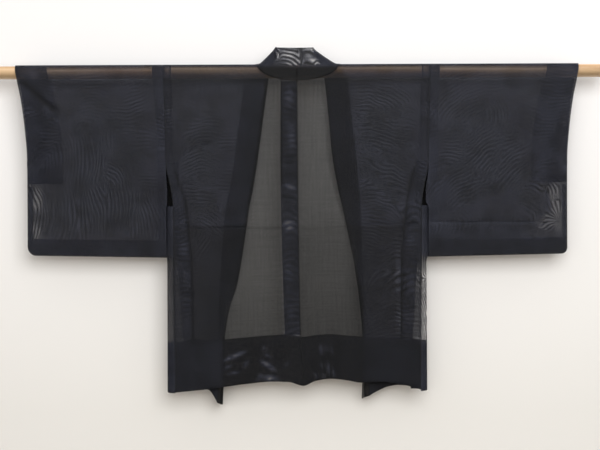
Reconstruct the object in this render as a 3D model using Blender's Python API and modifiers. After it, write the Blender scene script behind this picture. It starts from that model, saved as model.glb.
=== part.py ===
"""Haori jacket of sheer black silk gauze, hung flat on a wooden rod with its back to the viewer.

Frame: +Z up, origin on the rod's axis midway along it. The rod lies along X. The garment's back
faces -Y and its front faces +Y, so the wearer's left side is at -X. Sizes are in millimetres and
are turned to metres when a mesh is made.

The haori has no shoulder seam: each body length runs from the back hem, over the rod, to the front
hem. A gusset joins back to front at each side, the sleeves are wide flat bags, and the collar is a
doubled band in two halves that meet in a seam at the back of the neck.
"""

import math

import bmesh
import bpy
from mathutils import Vector

MM = 0.001

# ---------------------------------------------------------------- driving sizes, in millimetres
ROD_DIAMETER = 30.0
ROD_LENGTH = 1440.0
ROD_BEVEL = 1.5

CLOTH = 1.0  # wall of one layer of cloth
COLLAR_WALL = 3.0  # the collar band: four pressed layers
GAP = 0.3  # between pieces at a seam
LAYER_STEP = CLOTH + GAP  # from one layer's middle to the next one's

SHOULDER_WIDTH = 303.0  # centre back to the armhole seam
ARMHOLE_END = -220.0  # where the sleeve seam stops and the sleeve hangs free
GUSSET_TOP = -311.0  # below this the gusset closes the side
CUFF_END = -212.0  # the cuff opening's lower end
FACING_END = -258.0  # the cuff facing's lower end
FACING_WIDTH = 80.0
SLEEVE_BEND = -330.0  # below this the sleeve narrows to its bottom seam
SLEEVE_INNER_BOTTOM = -430.0
SLEEVE_OUTER_BOTTOM = -424.0
SLEEVE_CORNER = 20.0  # radius of the sleeve's lower outer corner
SLEEVE_EDGE_SPREAD = 60.0  # how far in from the cuff the two layers still draw together
FURI_GAP = 0.5  # the sleeve's free inner edge stands this far outside the armhole line

TURN_UP_STEP = 1.6  # from the hem's outer layer to its turned-up layer
HEM_ROUND = 0.8  # height of the rounded fold at the hem
FRONT_FOLD_DEPTH = 11.0  # one soft fold in each front, beside the collar
FRONT_FOLD_WIDTH = 26.0
FRONT_FOLD_TOP = -240.0

COLLAR_FLAT = 4.0  # the collar leaves its seam flat for this far
COLLAR_BEND_END = 18.0  # and has turned to its full angle by here
COLLAR_SEAM_GAP = 0.4

LOOP_WIRE = 2.4  # thickness of the cord loops for the tie
LOOP_LENGTH = 26.0
LOOP_WIDTH = 9.0
LOOP_PLACE = -345.0
LOOP_ACROSS = 0.66  # share of the collar's width, from its seam

DRAPE_RADIUS = ROD_DIAMETER / 2 + GAP + CLOTH + GAP + CLOTH / 2  # room for the facing underneath
QUARTER = DRAPE_RADIUS * math.pi / 2

# ---------------------------------------------------------------- tables
# How far each layer hangs from the middle plane: z, half depth.
BODY_HANG = {"z": (-760, -311, -220, -90, 0), "depth": (13.0, 13.0, 14.0, 16.4, DRAPE_RADIUS)}
SLEEVE_HANG = {"z": (-430, -330, -220, -90, 0), "depth": (4.2, 9.5, 14.0, 16.4, DRAPE_RADIUS)}
CUFF_HANG = {"z": (-430, -212, -120, -60, 0), "depth": (3.4, 3.4, 8.0, 13.0, DRAPE_RADIUS)}

# Outer edge of a sleeve: z, distance from the centre.
SLEEVE_EDGE = {
    "z": (-430, -200, -136, -66, 0, 18),
    "across": (625.5, 626, 630, 638, 650, 652),
}

# Side seams, as distances from the centre: z, back panel, front panel, the gusset's outer fold.
SIDE_BACK = {"z": (-760, -500, -311, -265, -220, 40), "across": (283.5, 286, 288, 294, 303, 303)}
SIDE_FRONT = {"z": (-760, -500, -311, -265, -220, 40), "across": (261, 275, 289, 295, 303, 303)}
GUSSET_FOLD = {"z": (-760, -420, -311), "across": (299.5, 301, 301.5)}

# The centre back seam drifts to the wearer's right as it falls: z, x.
CENTRE_SEAM = {"z": (-760, -727, -620, -300, 0), "x": (13.5, 13, 6, 1.5, 0)}

# The back hem and the top of its turn-up, across the whole back: x, hem, turn-up.
BACK_HEM = {
    "x": (-300, -209, -110, -63, -22, 13, 40, 75, 110, 147, 190, 237, 296),
    "hem": (-743, -734, -721, -717, -718, -727, -716, -711, -714, -720, -718, -724, -740),
    "turn_up": (-627, -622, -614, -610, -608, -614, -610, -608, -611, -614, -616, -619, -621),
}

# The front hems, from the side seam to the collar seam: distance from the centre, hem.
FRONT_HEM_LEFT = {
    "across": (186, 191, 197, 207, 235, 300),
    "hem": (-767, -759, -750, -739, -733, -740),
}
FRONT_HEM_RIGHT = {
    "across": (166, 173, 192, 211, 235, 300),
    "hem": (-754, -749, -740, -733, -729, -737),
}
FRONT_TURN_UP = 112.0

# The collar seam and band. place: distance along the drape from the shoulder line, back hem side
# positive. across: from the centre. lean: direction of the band in the cloth's surface, from
# straight in (0) to along the drape (90). turn: how far it has turned out of the surface.
COLLAR_LEFT = {
    "place": (48.5, 47.6, 44.1, 40.2, 35.8, 30.1, 26.8, 23, 13.4, 6, 0, -13.4, -26.9, -42.9, -77,
              -127, -207, -277, -367, -427, -522, -579, -637, -707, -795),
    "across": (0, 22, 45, 58, 70, 80, 83.4, 87, 92, 94, 95, 97, 106, 121, 126,
               133, 144, 154, 170, 174.5, 181, 184, 184.5, 185, 188),
    "lean": (90, 89, 83, 77, 69, 61, 58, 55, 45, 31, 16, -13, -24, -13, -4,
             0, 0, 0, 0, 0, 0, 0, 0, 6, 18),
    "turn": (0, -0.5, -2, -4, -7, -11, -13, -4, 18, 31, 41, 35, 27, 28, 36,
             38, 38, 39, 40, 47, 62, 80, 90, 92, 88),
    "width": (75, 74.5, 72, 70, 69, 69, 68.5, 68, 67, 65.5, 65, 62, 61, 62, 63,
              64, 64, 64, 64, 64, 64, 64, 64, 64, 64),
}
COLLAR_RIGHT = {
    "place": (48.5, 47.6, 44.1, 40.2, 35.8, 30.1, 26.8, 23, 13.4, 6, 0, -13.4, -26.9, -42.9, -77,
              -127, -207, -277, -367, -427, -482, -567, -637, -707, -781),
    "across": (0, 24, 46, 59, 72, 83, 86.9, 91, 96, 98.5, 100, 101, 104, 110, 115,
               122, 135, 142, 148.5, 150, 151.5, 158, 164.5, 166, 167),
    "lean": (90, 89, 77, 69, 60, 52, 48, 45, 37, 25, 13, -13, -23, -12, -4,
             0, 0, 0, 0, 0, 0, 0, 0, 6, 18),
    "turn": (0, -0.5, -2, -4, -7, -11, -13, -5, 13, 25, 33, 31, 28, 38, 44,
             42, 36, 45, 64, 77, 87, 92, 92, 91, 86),
    "width": (75, 74.5, 73, 72.5, 74, 75, 75, 75, 75, 73.5, 71, 67, 62, 62, 63,
              64, 64, 64, 64, 64, 64, 64, 64, 64, 64),
}

# How far the band's outer edge hangs below its seam, near the front hem.
COLLAR_DROOP = {"place": (-795, -765, -660, 0), "droop": (9.5, 8.0, 0, 0)}

# Where the body and the collar both have a row, so that the seam between them stays even.
NECK_PLACES = (47.6, 44.1, 40.2, 35.8, 30.1, 26.8, 23, 18, 13.4, 9, 4.5, 0, -4.5, -9, -13.4, -18,
               -22.5, -26.9, -42.9, -77)
FRONT_PLACES = (-127, -167, -207, -242, -277, -322, -367, -397, -427, -482, -522, -567)
FRONT_TOP = QUARTER + FRONT_PLACES[-1]  # the height of the last of these rows
COLUMNS = 12
COLLAR_COLUMNS = 9

LEFT, RIGHT = -1, 1
COLLARS = {LEFT: COLLAR_LEFT, RIGHT: COLLAR_RIGHT}
FRONT_HEMS = {LEFT: FRONT_HEM_LEFT, RIGHT: FRONT_HEM_RIGHT}
SIDE_NAMES = {LEFT: "left", RIGHT: "right"}


# ---------------------------------------------------------------- reading tables and the drape
def read(table, column, at):
    """The value of a column at a place in the table's first column, on a smooth curve."""
    key = next(iter(table))
    rows = sorted(zip(table[key], table[column]))
    if at <= rows[0][0]:
        return rows[0][1]
    if at >= rows[-1][0]:
        return rows[-1][1]
    n = next(i for i in range(len(rows) - 1) if rows[i + 1][0] >= at)
    (x0, y0), (x1, y1) = rows[n], rows[n + 1]
    steps = [(b[1] - a[1]) / (b[0] - a[0]) for a, b in zip(rows, rows[1:])]

    def slope(i):
        if i in (0, len(rows) - 1):
            return steps[min(i, len(steps) - 1)]
        before, after = steps[i - 1], steps[i]
        return 0.0 if before * after <= 0 else 2 * before * after / (before + after)

    span = x1 - x0
    t = (at - x0) / span
    return (
        (2 * t**3 - 3 * t**2 + 1) * y0
        + (t**3 - 2 * t**2 + t) * span * slope(n)
        + (3 * t**2 - 2 * t**3) * y1
        + (t**3 - t**2) * span * slope(n + 1)
    )


def mix(a, b, share):
    return a + (b - a) * share


def ease(share):
    """0 to 1, starting and ending level."""
    share = min(1.0, max(0.0, share))
    return share * share * (3 - 2 * share)


def place_of(z):
    """Distance along the drape from the shoulder line to a height below the rod's axis."""
    return QUARTER - z


def drape(place, depth_of):
    """(y, z) of the cloth at a distance from the shoulder line, positive down the back."""
    side = -1 if place >= 0 else 1
    far = abs(place)
    if far < QUARTER:
        angle = far / DRAPE_RADIUS
        return side * DRAPE_RADIUS * math.sin(angle), DRAPE_RADIUS * math.cos(angle)
    z = QUARTER - far
    return side * depth_of(z), z


def body_depth(z):
    return read(BODY_HANG, "depth", z)


# ---------------------------------------------------------------- grids of points and solids
def normals(grid, round_rows=False):
    """Unit normals of a grid of points, to its row direction crossed with its column direction."""
    last_row, last_column = len(grid) - 1, len(grid[0]) - 1

    def at(i, j):
        if round_rows:
            i %= len(grid)
        return grid[min(max(i, 0), last_row)][min(max(j, 0), last_column)]

    return [
        [
            (at(i + 1, j) - at(i - 1, j)).cross(at(i, j + 1) - at(i, j - 1)).normalized()
            for j in range(last_column + 1)
        ]
        for i in range(last_row + 1)
    ]


def moved(grid, distance, round_rows=False):
    """The grid's points, each moved along its normal."""
    return [
        [point + normal * distance for point, normal in zip(points, row)]
        for points, row in zip(grid, normals(grid, round_rows))
    ]


def collection(name):
    made = bpy.data.collections.new(name)
    bpy.context.scene.collection.children.link(made)
    return made


def material(name, colour, roughness):
    made = bpy.data.materials.new(name)
    made.use_nodes = True
    shader = made.node_tree.nodes["Principled BSDF"]
    shader.inputs["Base Color"].default_value = (*colour, 1.0)
    shader.inputs["Roughness"].default_value = roughness
    shader.inputs["Metallic"].default_value = 0.0
    return made


def add_object(name, mesh, finish):
    mesh.materials.append(finish)
    made = bpy.data.objects.new(name, mesh)
    GARMENT.objects.link(made)
    return made


def cloth_solid(name, grid, wall, finish, round_rows=False, extra_faces=()):
    """An open surface on the grid's points, thickened evenly to both sides."""
    rows, columns = len(grid), len(grid[0])
    shape = bmesh.new()
    points = [[shape.verts.new(point * MM) for point in row] for row in grid]
    for i in range(rows if round_rows else rows - 1):
        for j in range(columns - 1):
            below, above = points[i], points[(i + 1) % rows]
            shape.faces.new((below[j], below[j + 1], above[j + 1], above[j]))
    for corners in extra_faces:
        shape.faces.new([points[i][j] for i, j in corners])
    bmesh.ops.recalc_face_normals(shape, faces=shape.faces)
    mesh = bpy.data.meshes.new(name)
    shape.to_mesh(mesh)
    shape.free()
    mesh.shade_smooth()
    made = add_object(name, mesh, finish)
    thick = made.modifiers.new("wall", "SOLIDIFY")
    thick.thickness = wall * MM
    thick.offset = 0.0
    return made


# ---------------------------------------------------------------- hems and the collar's seam line
def back_hem(x):
    return read(BACK_HEM, "hem", x)


def back_turn_up(x):
    return read(BACK_HEM, "turn_up", x)


def front_hem(x):
    return read(FRONT_HEMS[LEFT if x < 0 else RIGHT], "hem", abs(x))


def front_turn_up(x):
    return front_hem(x) + FRONT_TURN_UP


def hem_heights(hem, turn_up, top):
    """Heights of the outer layer's rows from the hem upwards, each a function of x."""

    def height(low, high, share, lift=0.0):
        return lambda x: mix(low(x) + lift, high(x), share)

    heights = [height(hem, turn_up, 0.0, HEM_ROUND)]
    heights += [height(hem, turn_up, share) for share in (0.25, 0.5, 0.75, 1.0)]
    heights += [height(turn_up, lambda x: top, share) for share in (0.33, 0.66)]
    return heights


def collar_row(side, place):
    """The collar table's values at a place on the drape."""
    table = COLLARS[side]
    return {column: read(table, column, place) for column in table}


def front_seam_place(side, height):
    """Where on the drape a row of the front, at a height that varies across it, meets the collar."""
    place = -place_of(height(side * 180))
    for _ in range(4):
        place = -place_of(height(side * read(COLLARS[side], "across", place)))
    return place


def surface_axes(place):
    """At a place on the drape: the direction down the drape to the front, and the way out."""
    far = min(abs(place), QUARTER) / DRAPE_RADIUS
    outward = Vector((0, -math.sin(far), math.cos(far)))
    along = Vector((0, math.cos(far), math.sin(far)))
    if place < 0:
        outward.y, along.z = -outward.y, -along.z
    return along, outward


def seam_frame(side, row):
    """The collar seam's point, and the band's first direction and the way out of the cloth."""
    y, z = drape(row["place"], body_depth)
    along, outward = surface_axes(row["place"])
    lean = math.radians(row["lean"])
    inward = Vector((-side * math.cos(lean), 0, 0)) + along * math.sin(lean)
    return Vector((side * row["across"], y, z)), inward, outward


def collar_points(side, row, columns=COLLAR_COLUMNS):
    """Points across the collar band, from its seam to its outer fold."""
    seam, inward, outward = seam_frame(side, row)
    full = math.radians(row["turn"])
    steps = 48
    far = flat = out = 0.0
    path = [(0.0, 0.0, 0.0)]
    for _ in range(steps):
        middle = far + row["width"] / steps / 2
        turned = full * ease((middle - COLLAR_FLAT) / (COLLAR_BEND_END - COLLAR_FLAT))
        flat += math.cos(turned) * row["width"] / steps
        out += math.sin(turned) * row["width"] / steps
        far += row["width"] / steps
        path.append((far, flat, out))
    picked = [path[round(steps * i / columns)] for i in range(columns + 1)]
    droop = read(COLLAR_DROOP, "droop", row["place"])
    return [
        seam + inward * flat + outward * out - Vector((0, 0, droop * (far / row["width"]) ** 1.5))
        for far, flat, out in picked
    ]


def make_collar(side):
    """Half of the collar: centre back, round the neck, and down the front to the hem."""
    heights = hem_heights(front_hem, front_turn_up, FRONT_TOP)
    low = [front_seam_place(side, height) for height in heights]
    places = (COLLARS[side]["place"][0], *NECK_PLACES, *FRONT_PLACES, *reversed(low))
    grid = [collar_points(side, collar_row(side, place)) for place in places]
    for point in grid[0]:
        point.x = side * GAP / 2
    cloth_solid(f"collar_{SIDE_NAMES[side]}", grid, COLLAR_WALL, SILK)


# ---------------------------------------------------------------- the body lengths
def body_row(side, place, height=None, inset=0.0):
    """A row of points across one body length, from the side seam to the centre or the collar."""
    back = place >= 0
    z = height(side * 300) if height else drape(place, body_depth)[1]
    outer = read(SIDE_BACK if back else SIDE_FRONT, "across", z)
    table = COLLARS[side]
    seam_here = place <= table["place"][0]
    seam_place = front_seam_place(side, height) if height and seam_here else place
    if seam_here:
        inner = max(read(table, "across", seam_place), GAP / 2)
    else:
        inner = GAP / 2 + side * read(CENTRE_SEAM, "x", height(0) if height else z)
    points = []
    for j in range(COLUMNS + 1):
        share = j / COLUMNS
        x = side * mix(outer, inner, share)
        y, level = drape(place, body_depth)
        if height:
            level = height(x)
        y += inset if back else -inset
        if not back:
            fade = ease((FRONT_FOLD_TOP - level) / 260.0)
            offset = (abs(x) - inner - 1.6 * FRONT_FOLD_WIDTH) / FRONT_FOLD_WIDTH
            y += FRONT_FOLD_DEPTH * fade * math.exp(-offset * offset)
        points.append(Vector((x, y, level)))
    if seam_here:
        seam, inward, _ = seam_frame(side, collar_row(side, seam_place))
        lift = points[-1].y - seam.y if height else 0.0
        points[-1] = seam - inward * COLLAR_SEAM_GAP + Vector((0, lift, 0))
        points[-1].x = side * max(abs(points[-1].x), GAP / 2)
    return points


def hem_rows(side, back, hem, turn_up, top):
    """Rows of the turned-up hem: down the inside, round the fold and up the outside to top."""
    heights = hem_heights(hem, turn_up, top)

    def row(height, inset):
        middle = place_of(height(side * 200)) * (1 if back else -1)
        return body_row(side, middle, height, inset)

    rows = [row(height, TURN_UP_STEP) for height in reversed(heights[:5:2])]
    rows.append(row(hem, TURN_UP_STEP / 2))
    rows += [row(height, 0.0) for height in heights]
    return rows


def make_body(side):
    """One body length: back hem, up the back, over the rod and down the front to its hem."""
    grid = hem_rows(side, True, back_hem, back_turn_up, GUSSET_TOP - 60)
    heights = (GUSSET_TOP - 60, GUSSET_TOP, -288, -265, -242, ARMHOLE_END, -160, -100, -50, -25)
    grid += [body_row(side, place_of(z)) for z in heights]
    grid += [body_row(side, place) for place in (COLLARS[side]["place"][0], *NECK_PLACES)]
    grid += [body_row(side, place) for place in FRONT_PLACES]
    down = hem_rows(side, False, front_hem, front_turn_up, FRONT_TOP)
    grid += list(reversed(down))
    cloth_solid(f"body_{SIDE_NAMES[side]}", grid, CLOTH, SILK)


# ---------------------------------------------------------------- the side gussets
def gusset_section(side, height, inset=0.0):
    """Points across the gusset, from the back seam, round its outer fold, to the front seam."""
    depth = body_depth(height(0.5)) - inset
    back = read(SIDE_BACK, "across", height(0.0)) + GAP
    front = read(SIDE_FRONT, "across", height(1.0)) + GAP
    fold = read(GUSSET_FOLD, "across", height(0.5)) - inset
    pull = (fold - (back + front) / 8) / 0.75
    corners = ((back, -depth), (pull, -depth), (pull, depth), (front, depth))
    points = []
    for j in range(COLUMNS + 1):
        t = j / COLUMNS
        weights = ((1 - t) ** 3, 3 * t * (1 - t) ** 2, 3 * t * t * (1 - t), t**3)
        across = sum(w * corner[0] for w, corner in zip(weights, corners))
        y = sum(w * corner[1] for w, corner in zip(weights, corners))
        points.append(Vector((side * across, y, height(t))))
    return points


def make_gusset(side):
    """The machi: a narrow strip from the side vent down to the hem, folded out along its middle."""
    x = side * 300

    def hem(t):
        return mix(back_hem(x), front_hem(x), t)

    def turn_up(t):
        return mix(back_turn_up(x), front_turn_up(x), t)

    heights = hem_heights(hem, turn_up, -500)
    grid = [gusset_section(side, height, TURN_UP_STEP) for height in reversed(heights[:5:2])]
    grid.append(gusset_section(side, hem, TURN_UP_STEP / 2))
    grid += [gusset_section(side, height) for height in heights]
    grid += [gusset_section(side, lambda t, z=z: z) for z in (-500, -440, -371, GUSSET_TOP)]
    cloth_solid(f"gusset_{SIDE_NAMES[side]}", grid, CLOTH, SILK)


# ---------------------------------------------------------------- the sleeves
def sleeve_bottom(across, edge):
    """Height of the sleeve's bottom, with its rounded outer corner."""
    low = mix(
        SLEEVE_INNER_BOTTOM,
        SLEEVE_OUTER_BOTTOM,
        (across - SHOULDER_WIDTH) / (edge - SHOULDER_WIDTH),
    )
    into = SLEEVE_CORNER - (edge - across)
    if into > 0:
        low += SLEEVE_CORNER - math.sqrt(max(0.0, SLEEVE_CORNER**2 - into**2))
    return low


def sleeve_depth(across, z):
    """Half of the space between the sleeve's two layers."""
    edge = read(SLEEVE_EDGE, "across", z)
    near_cuff = 1 - ease((edge - across) / SLEEVE_EDGE_SPREAD)
    return mix(read(SLEEVE_HANG, "depth", z), read(CUFF_HANG, "depth", z), near_cuff)


CUFF_INSETS = (0, 2, 6, 12, 20, 45, 80, 130)


def sleeve_line(side, place, share_down=None, lift=0.0):
    """A row of points along the sleeve, from the cuff to the armhole."""
    z = drape(place, body_depth)[1]
    edge = read(SLEEVE_EDGE, "across", z)
    inner = SHOULDER_WIDTH + FURI_GAP
    spans = [edge - inset for inset in CUFF_INSETS]
    rest = spans[-1] - inner
    spans += [spans[-1] - rest * share for share in (0.25, 0.5, 0.75, 1.0)]
    points = []
    for across in spans:
        level = z
        if share_down is not None:
            level = mix(SLEEVE_BEND, sleeve_bottom(across, edge) + lift, share_down)
        y, level_on_rod = drape(place, lambda _, a=across, h=level: sleeve_depth(a, h))
        if abs(place) < QUARTER:
            level = level_on_rod
        points.append(Vector((side * across, y, level)))
    return points


SLEEVE_HEIGHTS = (SLEEVE_BEND, FACING_END, -235, CUFF_END, -166, -120, -75, -35)
SLEEVE_SHARES = (0.99, 0.8, 0.55, 0.28)
ROD_PLACES = tuple(QUARTER * (1 - i / 6) for i in range(13))


def sleeve_grid(side):
    """Rows round the sleeve: from the bottom seam up the back, over the rod, down the front."""
    back_places = [place_of(SLEEVE_INNER_BOTTOM)] * len(SLEEVE_SHARES)
    rows = [sleeve_line(side, back_places[0], 1.0)]
    for point in rows[0]:
        point.y = 0.0
    rows += [sleeve_line(side, p, share) for p, share in zip(back_places, SLEEVE_SHARES)]
    rows += [sleeve_line(side, place_of(z)) for z in SLEEVE_HEIGHTS]
    rows += [sleeve_line(side, place) for place in ROD_PLACES]
    rows += [sleeve_line(side, -place_of(z)) for z in reversed(SLEEVE_HEIGHTS)]
    rows += [sleeve_line(side, -back_places[0], share) for share in reversed(SLEEVE_SHARES)]
    return rows


def make_sleeve(side):
    """The sleeve, a bag that is open along the body side and at the cuff, and its cuff facing."""
    grid = sleeve_grid(side)
    count = len(grid)
    closed = 1 + len(SLEEVE_SHARES) + SLEEVE_HEIGHTS.index(CUFF_END)
    seam = [((0, 0), (1, 0), (count - 1, 0))]
    seam += [((i, 0), (i + 1, 0), (count - i - 1, 0), (count - i, 0)) for i in range(1, closed)]
    cloth_solid(f"sleeve_{SIDE_NAMES[side]}", grid, CLOTH, SILK, True, seam)

    first = 1 + len(SLEEVE_SHARES) + SLEEVE_HEIGHTS.index(FACING_END)
    lining = moved(grid, -side * LAYER_STEP, True)[first : count - first + 1]
    facing = []
    for row in lining:
        edge = abs(row[0].x)
        kept = [point for point in row if abs(point.x) > edge - FACING_WIDTH - 0.5]
        kept[0] = kept[0] + (kept[1] - kept[0]).normalized() * (CLOTH / 2 + GAP)
        facing.append(kept)
    cloth_solid(f"cuff_facing_{SIDE_NAMES[side]}", facing, CLOTH, SILK)


# ---------------------------------------------------------------- the loops for the tie
def make_loop(side):
    """The chi: a cord loop on the collar's outer face, where the haori's tie is hooked on."""
    radius = LOOP_WIDTH / 2
    straight = LOOP_LENGTH - LOOP_WIDTH
    outline = []
    for i in range(24):
        angle = 2 * math.pi * i / 24
        drop = 0.0 if math.sin(angle) >= 0 else -straight
        place = -place_of(LOOP_PLACE + radius * math.sin(angle) + drop)
        row = collar_points(side, collar_row(side, place), 48)
        n = round(48 * LOOP_ACROSS)
        along = (row[n + 1] - row[n - 1]).normalized()
        outward = Vector((side * along.y, -side * along.x, 0)).normalized()
        raised = COLLAR_WALL / 2 + 2 * GAP + LOOP_WIRE / 2
        outline.append(row[n] + along * radius * math.cos(angle) + outward * raised)
    curve = bpy.data.curves.new(f"loop_{SIDE_NAMES[side]}", "CURVE")
    curve.dimensions = "3D"
    curve.bevel_depth = LOOP_WIRE / 2 * MM
    curve.bevel_resolution = 1
    line = curve.splines.new("POLY")
    line.points.add(len(outline) - 1)
    line.use_cyclic_u = True
    for point, where in zip(line.points, outline):
        point.co = (*(where * MM), 1.0)
    curve.materials.append(CORD)
    made = bpy.data.objects.new(curve.name, curve)
    GARMENT.objects.link(made)


# ---------------------------------------------------------------- the rod
def make_rod():
    """A plain round rod through both sleeves, with its edges taken off."""
    bpy.ops.mesh.primitive_cylinder_add(
        vertices=40,
        radius=ROD_DIAMETER / 2 * MM,
        depth=ROD_LENGTH * MM,
        rotation=(0, math.pi / 2, 0),
    )
    rod = bpy.context.object
    rod.name = rod.data.name = "rod"
    for linked in list(rod.users_collection):
        linked.objects.unlink(rod)
    GARMENT.objects.link(rod)
    rod.data.materials.append(WOOD)
    rod.data.shade_smooth()
    rod.data.set_sharp_from_angle(angle=math.radians(35))
    edge = rod.modifiers.new("edge", "BEVEL")
    edge.width = ROD_BEVEL * MM
    edge.segments = 2
    edge.limit_method = "ANGLE"
    edge.angle_limit = math.radians(40)


# ---------------------------------------------------------------- build
for existing in list(bpy.data.objects):
    bpy.data.objects.remove(existing)

GARMENT = collection("haori_on_rod")
SILK = material("black silk gauze", (0.018, 0.018, 0.022), 0.75)
CORD = material("black silk cord", (0.015, 0.015, 0.018), 0.6)
WOOD = material("pale rod wood", (0.62, 0.42, 0.22), 0.5)

make_rod()
for half in (LEFT, RIGHT):
    make_body(half)
    make_gusset(half)
    make_sleeve(half)
    make_collar(half)
    make_loop(half)
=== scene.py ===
"""Looks of a black silk gauze haori that hangs flat on a wooden rod, its back to the viewer.

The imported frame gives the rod. Every cloth piece is made here on its solid's form: the body
lengths, gussets, sleeves, cuff facings and collar, then the seam allowances that show through
the gauze, the sewing, and the cord loops. Garment sizes are in millimetres and become metres
when a mesh is made. The wearer's left is at -X, and the garment's back faces -Y.
"""

import math

import bmesh
import bpy
import numpy as np
from mathutils import Matrix, Vector


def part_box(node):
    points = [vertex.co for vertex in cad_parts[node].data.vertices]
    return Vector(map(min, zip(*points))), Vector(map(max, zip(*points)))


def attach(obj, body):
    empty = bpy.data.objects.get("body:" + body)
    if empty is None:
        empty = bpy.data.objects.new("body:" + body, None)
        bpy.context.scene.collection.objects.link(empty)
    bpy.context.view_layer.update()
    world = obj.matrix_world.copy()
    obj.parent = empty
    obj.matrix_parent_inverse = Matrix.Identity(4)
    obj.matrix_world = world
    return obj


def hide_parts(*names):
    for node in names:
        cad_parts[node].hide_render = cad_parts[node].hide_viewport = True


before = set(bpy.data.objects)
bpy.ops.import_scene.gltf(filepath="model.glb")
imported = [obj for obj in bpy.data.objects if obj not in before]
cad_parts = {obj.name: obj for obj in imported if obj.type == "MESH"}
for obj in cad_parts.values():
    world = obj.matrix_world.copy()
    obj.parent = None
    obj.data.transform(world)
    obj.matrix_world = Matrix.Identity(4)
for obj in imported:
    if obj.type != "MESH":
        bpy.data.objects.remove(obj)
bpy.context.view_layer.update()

# ------------------------------------------------------------------ room, light and camera
# A plain plastered wall stands close behind the garment, so the gauze shows lit wall through it
# and drops a soft shadow on it. The wall can be seen through from behind, for views of the front.
MM = 0.001
WALL_Y = 74 * MM
FLOOR_Z = -1250 * MM
CAMERA_DISTANCE = 3.1
BACK_Y = -13 * MM  # where the garment's back hangs
FRAME_WIDTH = 1386 * MM  # what the camera takes in across the garment's back
VIEW_CENTRE = Vector((6.0 * MM, 0.0, -355.5 * MM))
CAMERA_TILT = math.radians(0.23)


def linear(colour):
    """An sRGB hex colour such as "#16171c" as linear red, green, blue and alpha."""
    channels = [int(colour[i : i + 2], 16) / 255 for i in (1, 3, 5)]
    return (*[c / 12.92 if c <= 0.04045 else ((c + 0.055) / 1.055) ** 2.4 for c in channels], 1.0)


def add(tree, kind, inputs=None, **settings):
    """Adds a node with its settings. An input is a value or the output that is linked to it."""
    node = tree.nodes.new(kind)
    for name, value in settings.items():
        setattr(node, name, value)
    for name, value in (inputs or {}).items():
        if isinstance(value, bpy.types.NodeSocket):
            tree.links.new(value, node.inputs[name])
        else:
            node.inputs[name].default_value = value
    return node


def ramp(tree, value, *stops):
    """The colours that a value from 0 to 1 takes, from pairs of a place and a colour."""
    node = add(tree, "ShaderNodeValToRGB", {"Fac": value})
    elements = node.color_ramp.elements
    while len(elements) < len(stops):
        elements.new(0.5)
    for element, (position, colour) in zip(elements, stops):
        element.position = position
        element.color = colour
    return node.outputs["Color"]


def new_material(name):
    """An empty material with its tree, ready for a shader."""
    made = bpy.data.materials.new(name)
    made.use_nodes = True
    made.node_tree.nodes.clear()
    return made, made.node_tree


def new_object(name, data):
    """A scene object that holds a mesh, a light or a camera."""
    made = bpy.data.objects.new(name, data)
    bpy.context.scene.collection.objects.link(made)
    return made


def backdrop(name, outline, offset, material):
    """A sheet swept from an outline of points along one straight offset."""
    mesh = bpy.data.meshes.new(name)
    swept = [tuple(Vector(point) + Vector(offset)) for point in outline]
    count = len(outline)
    faces = [(i, i + 1, count + i + 1, count + i) for i in range(count - 1)]
    mesh.from_pydata([*outline, *swept], [], faces)
    mesh.materials.append(material)
    made = new_object(name, mesh)
    return made


# matt wall paint, warm white, painted greyer and darker towards the floor as painted shade for the light
# that falls off lower down; seen from behind it is clear
wall_paint, tree = new_material("wall paint")
where = add(tree, "ShaderNodeTexCoord")
parts = add(tree, "ShaderNodeSeparateXYZ", {0: where.outputs["Object"]})
drop = add(tree, "ShaderNodeMapRange", {"Value": parts.outputs["Z"], "From Min": -0.8, "From Max": -0.1})
painted_falloff = ramp(tree, drop.outputs[0], (0.0, linear("#e3e2df")), (1.0, linear("#f3f3f4")))
paint = add(tree, "ShaderNodeBsdfDiffuse", {"Color": painted_falloff})
clear = add(tree, "ShaderNodeBsdfTransparent")
side = add(tree, "ShaderNodeNewGeometry")
sides = {0: side.outputs["Backfacing"], 1: paint.outputs[0], 2: clear.outputs[0]}
either = add(tree, "ShaderNodeMixShader", sides)
add(tree, "ShaderNodeOutputMaterial", {"Surface": either.outputs[0]})
backdrop("wall", [(-4, WALL_Y, FLOOR_Z), (4, WALL_Y, FLOOR_Z)], (0, 0, 3.45), wall_paint)

# pale floor
floor_paint, tree = new_material("pale floor")
paint = add(tree, "ShaderNodeBsdfDiffuse", {"Color": linear("#c2b8aa")})
add(tree, "ShaderNodeOutputMaterial", {"Surface": paint.outputs[0]})
floor = backdrop("floor", [(-9, -9, FLOOR_Z), (9, -9, FLOOR_Z)], (0, 18, 0), floor_paint)


def area_light(name, place, towards, size, power, colour):
    data = bpy.data.lights.new(name, "AREA")
    data.shape = "RECTANGLE"
    data.size, data.size_y = size
    data.energy = power
    data.color = linear(colour)[:3]
    made = new_object(name, data)
    made.location = place
    made.rotation_euler = (Vector(towards) - Vector(place)).to_track_quat("-Z", "Y").to_euler()
    return made


def light_only(light, lit=(), unlit=()):
    """Keeps a light to some pieces, or keeps some pieces out of it."""
    group = bpy.data.collections.new(f"{light.name}_reach")
    for state, pieces in (("INCLUDE", lit), ("EXCLUDE", unlit)):
        for piece in pieces:
            group.objects.link(piece)
            group.collection_objects[-1].light_linking.link_state = state
    light.light_linking.receiver_collection = group


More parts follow.
